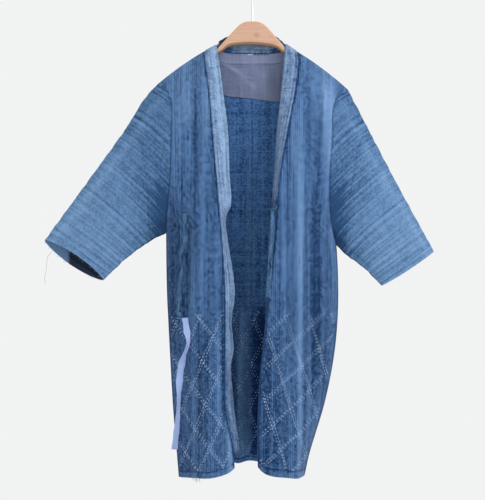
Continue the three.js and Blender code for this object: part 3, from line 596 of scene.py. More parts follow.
def back_sheet(sections, flip, seed):
    """Half of the back, with the centre seam, armhole and hem pressed in."""
    beside = NECK_SHARE + denser_ends(FRONT_COLUMNS) * (1 - NECK_SHARE)
    a = np.concatenate([np.linspace(0, NECK_SHARE, NECK_COLUMNS)[:-1], beside])
    a, rows = np.meshgrid(a, even_rows(sections, 0, HEM, PANEL_ROWS))
    points = back_surface(sections, rows, a)
    width = np.abs(points[:, -1:, 0] - points[:, :1, 0])
    seams = 0.05 * hump(a * width, 0, 2.2) + 0.3 * hump((1 - a) * width, 0, 2.2)
    # wear and painted light of the back: painted highlight on its ridges, painted shade in its valleys, dark
    # seams and the rubbed hem
    wear_and_painted_light = fold_depth(BACK_LIGHT_AND_SHADE, points[..., 0], points[..., 2]) - 0.7 * seams + hem_wear(rows)
    return pressed(points, back_relief(rows, a, points, seed), wear_and_painted_light, flip, held=True)


def hem_wear(rows):
    """Rubbed lower edge of the hem, and the dark groove of its stitching."""
    above = (HEM - rows) * SECTION_TO_HEM
    return 0.45 * hump(above, 0, 3) + 0.2 * hump(above, 9, 5) - 0.6 * hump(above, HEM_HEIGHT, 1.8)


# name, side, sections and seed of both halves: the front's ripples have the seed, the back's the next
HALVES = (("right", -1, RIGHT_FRONT, RIGHT_SEED), ("left", 1, LEFT_FRONT, LEFT_SEED))
for name, side, sections, seed in HALVES:
    tones, flat = (RIGHT_LIGHT_AND_SHADE, (0.31, 0.97)) if name == "right" else (LEFT_LIGHT_AND_SHADE, (0.32, 0.97))
    piece = sewn_surface(f"body_half_{name}", front_sheet(sections, side > 0, seed, tones),
                         back_sheet(sections, side < 0, seed + 1))
    give_thickness(piece, BODY_CLOTH, stitched_indigo, inside_indigo)
    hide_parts(f"body_{name}")
    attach(piece, "root")

# Sleeves.
# Each sleeve is a wide tube of lighter slubbed cotton, pieced across below the armhole, with
# its stripes nearly along the cuff. The right cuff is frayed and stands open; the left is hemmed.
SLEEVE_CLOTH = 1.8
PIECED_AT = 0.28
CUFF_FULLNESS, CUFF_SPREAD, CUFF_LEAN = 0.6, 0.8, 5
CUFF_HEM, STRIPE_FAN = 11, 0.17
SLEEVE_LENGTHS = {"right": 290, "left": 270}
ARMHOLE_POINTS, CREASE_AT = 74, -0.74
UPPER_STEPS, LOWER_STEPS = 34, 78
TURNED_EDGE_X, TURNED_EDGE_COLOUR = (-0.416, -0.423), (0.1, 0.19, 0.33, 1)

# share of the sleeve's length, x, z of its upper and lower outline
SLEEVES = {
    "right": {
        "sections": RIGHT_FRONT, "flip": True, "front_lift": 13, "back_lift": -15,
        "front": 13, "back": 17,
        "top": [[0, -216, ridge_height(-216)], [0.1, -244, -269], [0.28, -286, -336], [0.62, -370, -453],
                [1, -471, -591]],
        "bottom": [[0, -195, -573], [0.28, -232, -592], [0.62, -285, -630], [1, -338, -680]]},
    "left": {
        "sections": LEFT_FRONT, "flip": False, "front_lift": -3, "back_lift": 3,
        "front": 10, "back": 12,
        "top": [[0, 216, ridge_height(216)], [0.28, 267, -348], [0.62, 331, -470], [1, 411, -616]],
        "bottom": [[0, 189, -600], [0.28, 214, -624], [0.62, 252, -652], [1, 293, -693]]}}


def sleeve_surface(sleeve, v):
    """A sleeve between the armhole ring (v 0) and the cuff ring (v 1): each ring point runs straight
    from one to the other, then moves with the drawn outlines by its share of the ring's height."""
    sections, top, bottom = sleeve["sections"], np.array(sleeve["top"]), np.array(sleeve["bottom"])
    down = np.linspace(0, 1, ARMHOLE_POINTS) ** 0.9 * UNDERARM
    front, back = curve(sections, down)[:, 3:6], back_outer(sections, down)
    root = np.concatenate([front, back[-2::-1]])
    behind = np.concatenate([np.zeros(len(front)), np.ones(len(back) - 1)])
    share = (root[:, 2] - root[0, 2]) / (front[-1, 2] - root[0, 2])
    spread = np.clip(share, 0, 1) ** CUFF_SPREAD
    full = np.sin(np.pi * spread) ** CUFF_FULLNESS
    start = np.array([top[-1, 1], 0, top[-1, 2]])
    chord = np.array([bottom[-1, 1], 0, bottom[-1, 2]]) - start
    lift = np.array([-chord[2], 0, chord[0]]) / np.hypot(chord[0], chord[2])
    lift = lift * np.sign(lift[2])
    cuff = start + chord * spread[:, None]
    cuff = cuff + lift * (lerp(sleeve["front_lift"], sleeve["back_lift"], behind) * full)[:, None]
    cuff[:, 1] = full * lerp(-sleeve["front"], sleeve["back"], behind) - CUFF_LEAN * share
    points = lerp(root, cuff, v[:, None, None])
    for line, weight in ((top, 1 - share), (bottom, share)):
        off = curve(line, v) - lerp(line[0, 1:], line[-1, 1:], v[:, None])
        points[..., 0] += weight * off[:, :1]
        points[..., 2] += weight * off[:, 1:]
    return points, unit(chord), lift


def sleeve_sheet(side, start, end, count, seed):
    """A part of a sleeve with its seams and cuff hem pressed in. Its stripes lie along the cuff's
    line, and turn a little towards the armhole's line higher up."""
    sleeve, length = SLEEVES[side], SLEEVE_LENGTHS[side]
    v = lerp(start, end, denser_ends(count))
    points, along, outward = sleeve_surface(sleeve, v)
    v = v[:, None]
    from_start, to_end = (v - start) * length, (end - v) * length
    pattern = np.stack([points @ along, lerp(points @ outward, -length * v, STRIPE_FAN)], -1)
    soft = smooth(0, 20, from_start + 60 * (start > 0)) + 0 * points[..., 0]
    relief = 0.4 * seam_relief(from_start) + 0.8 * soft * ripple(pattern[..., 1], pattern[..., 0], 46, seed)
    if end < 1:
        relief = relief + 0.4 * seam_relief(to_end)
        wear_and_painted_light = -0.1 * hump(to_end, 0, 2.2) - 0.25 * hump(from_start, 0, 2.2)
    else:
        stitches = hump(to_end, CUFF_HEM, 1.5)
        relief = relief - 0.5 * stitches
        wear_and_painted_light = -0.1 * hump(from_start, 0, 2.2) + 0.2 * hump(to_end, 0, 2) - 0.25 * stitches
    # painted shade: the underside of the sleeve near the armhole is darkened where shade falls under the arm
    below = smooth(-400, -560, points[..., 2]) * (1 - smooth(0.03, 0.42, v))
    crease = hump(np.linspace(-1, 1, points.shape[1]), CREASE_AT, 0.07) * soft
    wear_and_painted_light = wear_and_painted_light + 0.36 * smooth(0, 1, v) - 0.16 - 0.65 * below + 0.17 * crease
    sheet = pressed(points, relief + 1.2 * crease, wear_and_painted_light, sleeve["flip"], pattern)
    sheet[0][:, -1] = sheet[0][:, 0]
    return sheet


slubbed_indigo = cloth_material(
    "slubbed_indigo", (0.016, 0.055, 0.14), (0.13, 0.255, 0.45), (0.24, 0.4, 0.62),
    streak=(4, 560, 0.8), cross=(200, 200, 0.22), pitch=0.0038, weave_share=0.3,
    even=-0.12, blotch=(7, 0.25))
# the sleeves' inside is painted near black: painted shade inside the sleeve, not the cloth's own colour
sleeve_inside_shade = cloth_material(
    "sleeve_inside_shade", (0.002, 0.005, 0.013), (0.022, 0.038, 0.075), (0.03, 0.05, 0.09),
    streak=(4, 380, 0.5), pitch=0.0021, weave_share=0.3, blotch=(12, 0.3))

# The sleeves' inside is painted shade; at the outer end of the right cuff its turned edge shows blue from
# the front
tree = sleeve_inside_shade.node_tree
lining = tree.nodes["Principled BSDF"]
where = add_node(tree, "SeparateXYZ", {0: add_node(tree, "TexCoord").outputs["Object"]}).outputs
turned = ramp(tree, where["X"], *TURNED_EDGE_X)
dark = lining.inputs["Base Color"].links[0].from_socket
set_inputs(tree, lining, {"Base Color": blend(tree, turned, dark, TURNED_EDGE_COLOUR)})

for side, part, start, end, steps, flat in (
        ("right", "upper", 0, PIECED_AT, UPPER_STEPS, (0.07, 0.62)),
        ("right", "lower", PIECED_AT, 1, LOWER_STEPS, (0.19, 0.5)),
        ("left", "upper", 0, PIECED_AT, UPPER_STEPS, (0.06, 0.62)),
        ("left", "lower", PIECED_AT, 1, LOWER_STEPS, (0.17, 0.48))):
    piece = sewn_surface(f"sleeve_{side}_{part}_cloth", sleeve_sheet(side, start, end, steps, 11))
    give_thickness(piece, SLEEVE_CLOTH, slubbed_indigo, sleeve_inside_shade)
    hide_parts(f"sleeve_{side}_{part}", *([f"sleeve_{side}_cuff"] if part == "lower" else []))
    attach(piece, "root")

# Collar.
# One long band of worn pale cotton, folded double. It is sewn to both fronts and round the
# neck, stands up behind the neck and turns inward further down, with a wavy free edge.
COLLAR_WIDTH, COLLAR_BOW, COLLAR_FOLDED = 37, 2.5, 3.2
COLLAR_AT_NAPE, COLLAR_STANDS_BY = 35, 0.45
RIGHT_COLLAR_END, LEFT_COLLAR_END = 12, 12.5
COLLAR_STEPS, NAPE_STEPS, COLLAR_COLUMNS = 210, 36, 16

# at, showing width and rise of the band at sections of the fronts
RIGHT_TURN = np.array([
    [0, 28, 15], [1, 29, 9], [2, 32, 2], [3, 32, 0], [4, 35, 0], [5, 30, 0], [5.6, 28, 0], [6, 13, 0],
    [7, 11, 0], [8, 22, 0], [8.9, 13, 0], [9.6, 19, 0], [10, 13, 0], [11, 19, 0], [12.1, 12, 0]])
LEFT_TURN = np.array([
    [0, 25.5, 17], [1, 28, 8], [2, 34, 1], [3, 31, 0], [4, 23, 0], [5, 10, 0], [6, 12, 0], [7, 12, 0],
    [8, 5, 0], [9, 0, 0], [11, -3, 0], [12.5, -3, 0]])

# at, and the band's wear and painted shade there: pale worn cloth at the top, and lower down, where the band
# turns inward, painted shade as dark as the fronts
RIGHT_FADE_AND_SHADE = [[0, 0.02], [3, 0.12], [5.5, 0.03], [6.5, 0.03], [8, 0.0], [9.5, -0.06],
              [10.5, -0.26], [12, -0.24]]
LEFT_FADE_AND_SHADE = [[0, -0.05], [1.5, -0.12], [2.5, -0.12], [4, -0.05], [5.3, -0.1], [5.7, -0.6], [12.5, -0.65]]
# the same along the neck, by the share of the way to the centre back; its darkest stretch is painted shade
# on the band's inside behind the neck
NAPE_FADE_AND_SHADE = [[0, 0.0], [0.12, -0.1], [0.24, -0.75], [0.5, -0.65], [0.62, -0.12], [1, -0.05]]


def collar_edges(sections, turns, side, end):
    """Seam and free edge of one arm of the collar, from its lower end to the nape, its wear and painted
    shade, and its place: the section of the front, or minus the share along the neck. The hidden part
    of the band's width goes into depth."""
    at = even_rows(sections, 0, end, COLLAR_STEPS)[::-1]
    s = np.linspace(0, 1, NAPE_STEPS)[1:]
    seam = np.concatenate([front_surface(sections, at, 0), neck_seam(sections, s)])
    shape = curve(turns, at)
    showing = np.concatenate([shape[:, 0], turns[0, 1] * (1 - s) ** 1.5])
    nape_rise = lerp(turns[0, 2], COLLAR_AT_NAPE, smooth(0, COLLAR_STANDS_BY, s))
    rise = np.concatenate([shape[:, 1], nape_rise])
    turned = np.concatenate([smooth(1, 4, at), s])
    hidden = np.sqrt(np.maximum(0, COLLAR_WIDTH ** 2 - showing ** 2 - rise ** 2))
    fade = RIGHT_FADE_AND_SHADE if side < 0 else LEFT_FADE_AND_SHADE
    tone = np.concatenate([np.interp(at, *np.transpose(fade)), np.interp(s, *np.transpose(NAPE_FADE_AND_SHADE))])
    edge = seam + np.stack([-side * showing, turned * hidden, rise], -1)
    return seam, edge, tone, np.concatenate([at, -s])


def ringed_mesh(name, rings, wear_and_painted_light=None):
    """Closed solids from rings of points in millimetres: rings[solid, step, corner]. Each solid has a
    flat cap at both ends. Its faces are turned round where its volume would be negative. A corner's
    place in the pattern is its distance round the ring and along the solid."""
    count, steps, corners = rings.shape[:3]
    index = np.arange(count * steps * corners).reshape(count, steps, corners)
    after = np.roll(index, -1, axis=2)
    quads = np.stack([index[:, :-1], index[:, 1:], after[:, 1:], after[:, :-1]], -1).reshape(count, -1, 4)
    flat = rings.reshape(-1, 3)
    a, b, c, d = (flat[quads[..., k]] for k in range(4))
    centre = rings.mean(axis=(1, 2))[:, None]
    volume = (np.cross(c - a, d - b) * ((a + b + c + d) / 4 - centre)).sum(axis=(1, 2))
    caps = np.stack([index[:, 0], index[:, -1, ::-1]], 1)
    for faces in (quads, caps):
        faces[volume < 0] = faces[volume < 0][..., ::-1]
    step = np.linalg.norm(np.roll(rings, -1, axis=2) - rings, axis=-1)
    around = np.cumsum(step, axis=2) - step
    along = running(np.linalg.norm(np.diff(rings.mean(axis=2), axis=1), axis=-1))
    place = np.stack([around, along[..., None] + 0 * around], -1).reshape(-1, 2)
    faces = quads.reshape(-1, 4).tolist() + caps.reshape(-1, corners).tolist()
    return mesh_piece(name, flat, faces, place[np.concatenate([quads.ravel(), caps.ravel()])], wear_and_painted_light)


def folded_band(seam, edge, tone):
    """The band's rings and their wear and painted shade: out along its front face, round the fold and
    back along its inner face. It is one cloth thick at the seam and full along the middle, and its
    thickness falls as a half circle into the fold."""
    k = np.linspace(0, 1, COLLAR_COLUMNS) ** 0.8
    middle = lerp(seam[:, None], edge[:, None], k[:, None])
    middle[..., 1] -= COLLAR_BOW * np.sin(np.pi * k) * np.sign(NECK_BACK_Y - 8 - seam[:, 1:2])
    normal = grid_normals(middle)
    thick = lerp(BODY_CLOTH, COLLAR_FOLDED, smooth(0, 0.15, k)) / 2
    thick = thick * np.sqrt(np.clip(1 - np.clip((k - 0.95) / 0.05, 0, 1) ** 2, 0.02, 1))
    distance = k * COLLAR_WIDTH
    waves = 0.5 * ripple(run_length(seam)[:, None], distance[None, :] * 3, 31, 21) * smooth(0.05, 0.3, k)
    middle = middle + normal * (waves - 0.8 * hump(distance, 0, 2.2))[..., None]
    outer, inner = middle + normal * thick[:, None], middle - normal * thick[:, None]
    wear_and_painted_light = tone[:, None] - 0.8 * hump(distance, 0, 2.5) - 0.3 * hump(distance, 8, 1.6)
    wear_and_painted_light = wear_and_painted_light - 0.12 * hump(distance, 17, 1.4)
    rings = np.concatenate([outer, inner[:, ::-1]], axis=1)[None]
    return rings, np.concatenate([wear_and_painted_light, wear_and_painted_light[:, ::-1]], axis=1)


right_arm = collar_edges(RIGHT_FRONT, RIGHT_TURN, -1, RIGHT_COLLAR_END)
left_arm = collar_edges(LEFT_FRONT, LEFT_TURN, 1, LEFT_COLLAR_END)
band = [np.concatenate([right, left[-2::-1]]) for right, left in zip(right_arm, left_arm)]
band_rings, band_wear_and_shade = folded_band(*band[:3])
collar = ringed_mesh("collar_band", band_rings, band_wear_and_shade)
pale_indigo = cloth_material(
    "pale_indigo", (0.012, 0.045, 0.135), (0.235, 0.355, 0.545), (0.34, 0.47, 0.65),
    streak=(420, 9, 0.6), cross=(240, 260, 0.45), pitch=0.003, weave_share=0.35,
    even=0.02, blotch=(14, 0.3))
collar.data.materials.append(pale_indigo)
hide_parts("collar")
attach(collar, "root")

# Linings inside the back.
# A grey-lavender shoulder lining in two pieces lies under the neck, and a second stitched
# indigo layer lies against the lower back. They are sewn to the back along their edges.
LINING_CLOTH, LAYER_GAP = 1.0, 0.35
STRIP_SEED, SHOULDER_SEED, LOWER_SEED = 31, 32, 33


def layer_face(seed):
    """How far the open face of a layer inside the back stands off the back's surface."""
    return lambda at, share, point: (BODY_CLOTH / 2 + LINING_CLOTH + LAYER_GAP
                                     + 0.8 * (1 + ripple(point[..., 0], point[..., 2], 60, seed)))


def back_layer(name, start, end, count, seed, tones, crease=None, narrow=0, tilt=0):
    """A layer over the whole width of the back between two sections, moved inward by half of both
    cloths. Its lower edge drops by tilt times x. Its wear and painted light is that of its lighter and
    darker stretches."""
    halves = []
    for _, _, sections, _ in HALVES:
        rows = even_rows(sections, start, end, count)[:count] if start >= 1 else \
            np.linspace(start, end, count)
        halves.append(back_surface(sections, rows[:, None], np.linspace(0, 1 - narrow, 66)[None, :]))
    points = np.concatenate([halves[0][:, :0:-1], halves[1]], axis=1)
    down = np.linspace(0, 1, len(points))[:, None]
    points[..., 2] -= tilt * np.clip(points[..., 0], -70, 70) * down ** 3
    inward = layer_face(seed)(0, 0, points) - LINING_CLOTH / 2
    if crease:
        (x0, z0), (x1, z1) = crease
        along = np.array([x1 - x0, z1 - z0]) / np.hypot(x1 - x0, z1 - z0)
        off = (points[..., 0] - x0) * along[1] - (points[..., 2] - z0) * along[0]
        run = (points[..., 0] - x0) * along[0] + (points[..., 2] - z0) * along[1]
        inward = inward + 2.5 * hump(off, 0, 5) * smooth(-12, 5, run) * (1 - smooth(55, 85, run))
    edge = down * np.ptp(points[..., 2].mean(1))
    wear_and_painted_light = 0.3 * hump(edge, edge.max(), 2) + fold_depth(tones, points[..., 0], points[..., 2])
    return sewn_surface(name, pressed(points, -inward, wear_and_painted_light, False))


# painted light and shade of the linings, in the columns of the folds: lighter stretches are painted
# highlight on lit folds and the crease, darker ones painted shade; on the lower layer the darker stretch is
# the painted shadow of the right front
LINING_LIGHT_AND_SHADE = [(-60, -185, 5, -240, 9, 0.3), (20, -190, 34, -260, 12, 0.2),
                (-4, -190, -14, -262, 8, -0.15)]
LOWER_LIGHT_AND_SHADOW = [(-21, -690, -21, -1160, 13, 0.7), (24, -660, 20, -1160, 22, -0.85)]
lavender_cotton = cloth_material(
    "lavender_cotton", (0.09, 0.115, 0.20), (0.20, 0.235, 0.37), (0.32, 0.36, 0.52),
    streak=(200, 14, 0.3), cross=(14, 200, 0.3), pitch=0.0011, weave_share=0.3,
    even=0.15, blotch=(14, 0.35))
strip = back_layer("shoulder_strip", 0, 1, 12, STRIP_SEED, [(0, -100, 0, -190, 90, 0.25)])
shoulder_lining = back_layer("shoulder_lining_cloth", 1, 3, 34, SHOULDER_SEED, LINING_LIGHT_AND_SHADE,
                             crease=((-66, -190), (4, -226)), tilt=0.11)
lower_lining = back_layer("lower_back_cloth", 8.5, 12.5, 100, LOWER_SEED, LOWER_LIGHT_AND_SHADOW, narrow=0.04)
for piece, node, slot, material, flat in (
        (strip, "shoulder_lining_strip", "lavender_cotton", lavender_cotton, (0.45, 0.017)),
        (shoulder_lining, "shoulder_lining", "lavender_cotton", lavender_cotton, (0.43, 0.08)),
        (lower_lining, "lower_back_lining", "inside_indigo", inside_indigo, (0.36, 0.35))):
    give_thickness(piece, LINING_CLOTH, material)
    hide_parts(node)
    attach(piece, "root")

# Ties.
# A dark twisted cloth tie with a knot and a smooth lavender tape hang on the right front, and
# a thin dark tie hangs from the end of the left collar. All three are sewn on at the top.
TWISTED_TIE, TAPE_CLOTH, THIN_TIE = 2.8, 1.6, 2.2
AT_STEP, SHARE_STEP = 0.01, 0.001

# x, z, width, turn in degrees, and distance off the cloth behind
RIGHT_TIE = [[-149, -532, 12, 0, 0.8], [-148, -558, 13, 5, 2], [-149, -582, 13, 0, 2],
             [-155, -614, 12, 10, 2], [-159, -654, 12, 25, 2.5], [-163, -700, 11, 15, 3],
             [-165, -736, 13, 0, 3], [-164, -759, 13, 0, 3]]
RIGHT_TAPE = [[-150, -763, 14, 0, 0.8], [-146, -790, 14, 10, 2], [-143, -818, 12, 55, 3],
              [-152, -846, 13, 40, 3], [-160, -876, 16, 0, 3], [-163, -912, 15, 15, 4],
              [-165, -950, 13, 60, 5], [-168, -992, 12, 35, 6], [-175, -1060, 15, 0, 8]]
LEFT_TIE = [[47, -516, 12, 0, 0.8], [44, -545, 11, 10, 2], [42, -590, 10, 15, 2], [38, -640, 10, 10, 2],
            [35, -690, 11, 0, 2], [33, -716, 12, 0, 2]]


def slopes(surface, sections, at, share):
    """A point of a surface and its slopes by the section and by the share across."""
    point = surface(sections, at, share)
    by_at = (surface(sections, at + AT_STEP, share) - point) / AT_STEP
    return point, by_at, (surface(sections, at, share + SHARE_STEP) - point) / SHARE_STEP


def place_on(surface, sections, x, z):
    """Section and share across at which a surface has a given x and z, by Newton's steps."""
    at = np.interp(-z, -(sections[:, 3] + sections[:, 6]) / 2, sections[:, 0])
    share = 0 * at + 0.5
    for _ in range(12):
        here, by_at, by_share = slopes(surface, sections, at, share)
        miss_x, miss_z = x - here[..., 0], z - here[..., 2]
        area = by_at[..., 0] * by_share[..., 2] - by_at[..., 2] * by_share[..., 0]
        area = np.where(np.abs(area) < 1, 1, area)
        at = np.clip(at + (miss_x * by_share[..., 2] - miss_z * by_share[..., 0]) / area, 0, HEM)
        share = np.clip(share + (miss_z * by_at[..., 0] - miss_x * by_at[..., 2]) / area, 0, 1)
    return at, share


def front_depth(sections, x, z):
    """y of a front at an x and z."""
    return front_surface(sections, *place_on(front_surface, sections, x, z))[..., 1]


def strap(name, rows, sections, thick, twist, seed):
    """A narrow tie: a rounded flat section carried down its centre line. The section turns about
    that line, and a ripple makes it fuller and thinner. It stays its distance in front of the
    nearest cloth."""
    t = np.linspace(0, 1, 150)
    x, z, wide, turn, off = curve(np.column_stack([np.linspace(0, 1, len(rows)), rows]), t).T
    turn = np.radians(turn) + twist * np.sin(t * 19 + seed)
    reach = np.linspace(-0.5, 0.5, 5)[:, None] * wide
    behind = front_depth(sections, x + reach, z + 0 * reach).min(axis=0) - 1
    wide = wide * (1 + 0.08 * np.sin(t * 41 + seed) + 0.05 * np.sin(t * 97))
    y = behind - off - thick / 2 - wide / 2 * np.abs(np.sin(turn))
    centre = np.stack([x, y, z], -1)
    tangent = unit(np.gradient(centre, axis=0))
    side = unit(np.cross(tangent, [0, 1.0, 0]))
    lift = np.cross(side, tangent)
    across = side * np.cos(turn)[:, None] + lift * np.sin(turn)[:, None]
    through = lift * np.cos(turn)[:, None] - side * np.sin(turn)[:, None]
    angle = np.linspace(0, 2 * np.pi, 20, endpoint=False)
    flat_side = np.sign(np.cos(angle)) * np.abs(np.cos(angle)) ** 0.6
    flat_face = np.sign(np.sin(angle)) * np.abs(np.sin(angle)) ** 0.8
    cup = 0.12 * wide[:, None] * (flat_side ** 2 - 0.4) * np.sin(t * 11 + seed)[:, None]
    rings = (centre[:, None] + across[:, None] * (wide[:, None] / 2 * flat_side)[..., None]
             + through[:, None] * (thick / 2 * flat_face + cup)[..., None])
    return ringed_mesh(name, rings[None])


navy_cotton = cloth_material(
    "navy_cotton", (0.01, 0.022, 0.05), (0.045, 0.09, 0.17), (0.12, 0.2, 0.32), streak=(300, 20, 0.5),
    pitch=0.0013)
tie_cotton = cloth_material(
    "tie_cotton", (0.003, 0.014, 0.045), (0.095, 0.21, 0.40), (0.2, 0.33, 0.5), streak=(420, 26, 0.9),
    pitch=0.0023, weave_share=0.35, even=-0.18)
lavender_tape = cloth_material(
    "lavender_tape", (0.25, 0.34, 0.60), (0.38, 0.49, 0.80), (0.5, 0.6, 0.88), streak=(500, 8, 0.4),
    pitch=0.0007, weave_share=0.3, even=0.1, blotch=(18, 0.3), relief=0.0002)
for name, node, rows, thick, twist, seed, slot, material, flat in (
        ("tie_right_cloth", "tie_right", RIGHT_TIE, TWISTED_TIE, 0.75, 1, "inside_indigo",
         tie_cotton, (0.014, 0.235)),
        ("tape_right_cloth", "tape_right", RIGHT_TAPE, TAPE_CLOTH, 0.1, 2, "lavender_tape",
         lavender_tape, (0.015, 0.305)),
        ("tie_left_cloth", "tie_left", LEFT_TIE, THIN_TIE, 0.2, 3, "inside_indigo",
         tie_cotton, (0.012, 0.205))):
    side, sections = ("left", LEFT_FRONT) if node == "tie_left" else ("right", RIGHT_FRONT)
    piece = strap(name, rows, sections, thick, twist, seed)
    piece.data.materials.append(material)
    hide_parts(node)
    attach(piece, "root")

# Diamond stitching.
# The lower third of the coat is quilted by hand with pale thread: slanting double rows of
# running stitches that cross in diamonds, on the fronts, the back and its inner layer.
STITCH_LENGTH, STITCH_STEP, ROW_GAP, THREAD = 4.0, 7.6, 4.4, 0.46
QUILTED_BELOW, QUILTED_TO, LOWEST, WIDEST = -752, 12.66, -1130, 205
LAYER_QUILTED_TO = 12.4
# along a stitch: its four points, from -1 to 1, and how thick the thread is at them
STITCH_POINTS, STITCH_TAPER = np.array([-1, -0.5, 0.5, 1]), np.array([0.7, 1, 1, 0.7])

# each row: the lines are where a * x + b * z is first + spacing * k
RIGHT_LINES = [(1, -0.42, 297.3, 47.3), (1.3, 1, -1087, 85.8)]
LEFT_LINES = [(1, 0.31, -110.3, 51.7), (-0.9, 1, -895.1, 70.4)]
BACK_LINES = [(1, -0.55, 380, 50), (1, 0.42, -320, 50)]


def tubes(name, paths, radii, sides):
    """Round wires, threads or stitches: at every point of a path a ring square to it, whose corner k
    stands off by the radius along two directions, with the cosine and sine of k parts of a turn."""
    tangent = unit(np.gradient(paths, axis=1))
    side = unit(np.cross(tangent, [0, 1.0, 0]))
    lift = np.cross(side, tangent)
    angle = np.linspace(0, 2 * np.pi, sides, endpoint=False)[:, None]
    rings = side[..., None, :] * np.cos(angle) + lift[..., None, :] * np.sin(angle)
    radii = np.broadcast_to(radii, paths.shape[:2])[..., None, None]
    return ringed_mesh(name, paths[..., None, :] + rings * radii)


def lattice(lines, low, high, seed):
    """Points along the stitches of crossing double rows in a rectangle of x and z: four for each
    stitch, along its row. The rows wander a little, and the stitches differ in length and place."""
    rng = np.random.default_rng(seed)
    corners = np.array([(x, z) for x in (low[0], high[0]) for z in (low[1], high[1])])
    found = []
    for a, b, first, spacing in lines:
        size = np.hypot(a, b)
        lines_at = (corners @ [a, b] - first) / spacing
        k = np.arange(np.ceil(lines_at.min()), np.floor(lines_at.max()) + 1)
        rows = ((first + spacing * k) / size)[:, None] + np.array([-ROW_GAP / 2, ROW_GAP / 2])
        run = np.arange(-1500, 1500, STITCH_STEP)
        rows, run = np.meshgrid(rows.ravel(), run, indexing="ij")
        run = run + rng.uniform(0, STITCH_STEP, (len(rows), 1)) + rng.uniform(-0.5, 0.5, run.shape)
        rows = rows + 0.7 * np.sin(run / 23 + rows) + rng.uniform(-0.25, 0.25, run.shape)
        half = STITCH_LENGTH / 2 * rng.uniform(0.75, 1.15, run.shape)
        run = run[..., None] + half[..., None] * STITCH_POINTS
        x = a / size * rows[..., None] - b / size * run
        z = b / size * rows[..., None] + a / size * run
        kept = ((x > low[0]) & (x < high[0]) & (z > low[1]) & (z < high[1])).all(axis=-1)
        found.append(np.stack([x[kept], z[kept]], -1))
    return np.concatenate(found)


def laid_on(surface, sections, at, share, lift, facing, thread=THREAD):
    """Paths of threads on a surface: each dips into the cloth at its ends and lies on it between
    them. lift gives how far the cloth's face stands off, and facing is 1 for the face behind and
    -1 for the face in front."""
    point, by_at, by_share = slopes(surface, sections, at, share)
    normal = unit(np.cross(by_share, by_at))
    normal *= np.sign(normal[..., 1:2]) * facing
    rise = np.full(at.shape[-1], 0.45)
    rise[[0, -1]] = -1
    return point + normal * (lift(at, share, point) + thread * rise)[..., None]


def sewn_through(surface, sections, spots, lift, facing, edges, last_row, thread=THREAD):
    """Threads laid on a surface through spots of x and z. Only those that are wholly inside the share
    edges and above the last row are kept."""
    at, share = place_on(surface, sections, spots[..., 0], spots[..., 1])
    point = surface(sections, at, share)
    miss = np.hypot(point[..., 0] - spots[..., 0], point[..., 2] - spots[..., 1])
    inside = (share > edges[0]) & (share < edges[1]) & (at < last_row) & (miss < 0.3)
    kept = inside.all(axis=-1)
    return laid_on(surface, sections, at[kept], share[kept], lift, facing, thread)


def back_face(seed):
    """How far the outer face of the back stands off its surface."""
    return lambda at, share, point: back_relief(at, share, point, seed) + BODY_CLOTH / 2


def front_face(sections, seed):
    """How far the outer face of a front stands off its surface."""
    return lambda at, share, point: front_relief(sections, at, share, point, seed) + BODY_CLOTH / 2


pale_thread = cloth_material(
    "pale_thread", (0.3, 0.46, 0.68), (0.62, 0.76, 0.92), (0.8, 0.86, 0.9), weave_share=0.4, even=0.3,
    streak=(900, 900, 0.4), relief=0.0001, blotch=(30, 0.6))
for name, side, sections, seed in HALVES:
    lines, inner_x = (RIGHT_LINES, -30) if name == "right" else (LEFT_LINES, 0)
    low_x, high_x = sorted((inner_x, side * WIDEST))
    spots = lattice(lines, (low_x, LOWEST), (high_x, QUILTED_BELOW), seed)
    behind = lattice(BACK_LINES, (-WIDEST, LOWEST), (WIDEST, QUILTED_BELOW), seed + 20)
    for place, surface, where, face, facing, edges, last_row in (
            ("front", front_surface, spots, front_face(sections, seed), -1, (0.05, 0.955), QUILTED_TO),
            ("back", back_surface, behind, back_face(seed + 1), 1, (0.02, 0.95), QUILTED_TO),
            ("inside", back_surface, behind, layer_face(LOWER_SEED), -1, (0.02, 0.93), LAYER_QUILTED_TO)):
        paths = sewn_through(surface, sections, where, face, facing, edges, last_row)
        piece = tubes(f"diamond_stitches_{name}_{place}", paths, THREAD * STITCH_TAPER, 4)
        piece.data.materials.append(pale_thread)
        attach(piece, "root")

# Hand sewing and loose threads.
# Dark running stitches hold the turned hems, the shoulder linings and the nape. Whip stitches
# bind the collar's free edge. The right cuff, one hem and the collar's tail are frayed.
HEM_LINE, HEM_STEP, HEM_STITCH = 12.69, 5.5, 3.2
SHOULDER_LINE = ((-157, -218.7), (-115, -199.7))
NAPE_LINE = ((1.5, -165.3), (36, -165.8))
NAPE_PATCH = ((-10.5, -165.8), (-1.5, -165.3))
LINING_LINE_AT = 1.07
FRAYED_HEM_AT, HEM_ENDS, TAIL_ENDS, CUFF_ENDS = 12.99, 9, 34, 90
# the collar's last column before its fold and the first after it
FOLD_FRONT, FOLD_BACK = COLLAR_COLUMNS - 1, COLLAR_COLUMNS

# thick pale yarns on the inner back: from x to x, and z
SLUBS = [(-32, 6, -282), (-38, 22, -311), (-10, 36, -371), (-34, 30, -390), (-24, 16, -445)]
LOOSE_THREAD = [(-454.6, 10.6, -611), (-459.5, 8, -619), (-465.8, 4, -628.5), (-467.4, 2, -643.5),
                (-468.8, 0, -659.6), (-471.5, -1, -677), (-469.2, -1, -689.8)]


def dashes(start, end, step, length):
    """Spots of running stitches along a straight line of x and z: four to a stitch."""
    start, end = np.array(start, float), np.array(end, float)
    size = np.linalg.norm(end - start)
    middle = np.arange(step / 2, size, step)[:, None]
    along = (middle + STITCH_POINTS * length / 2) / size
    return start + along[..., None] * (end - start)


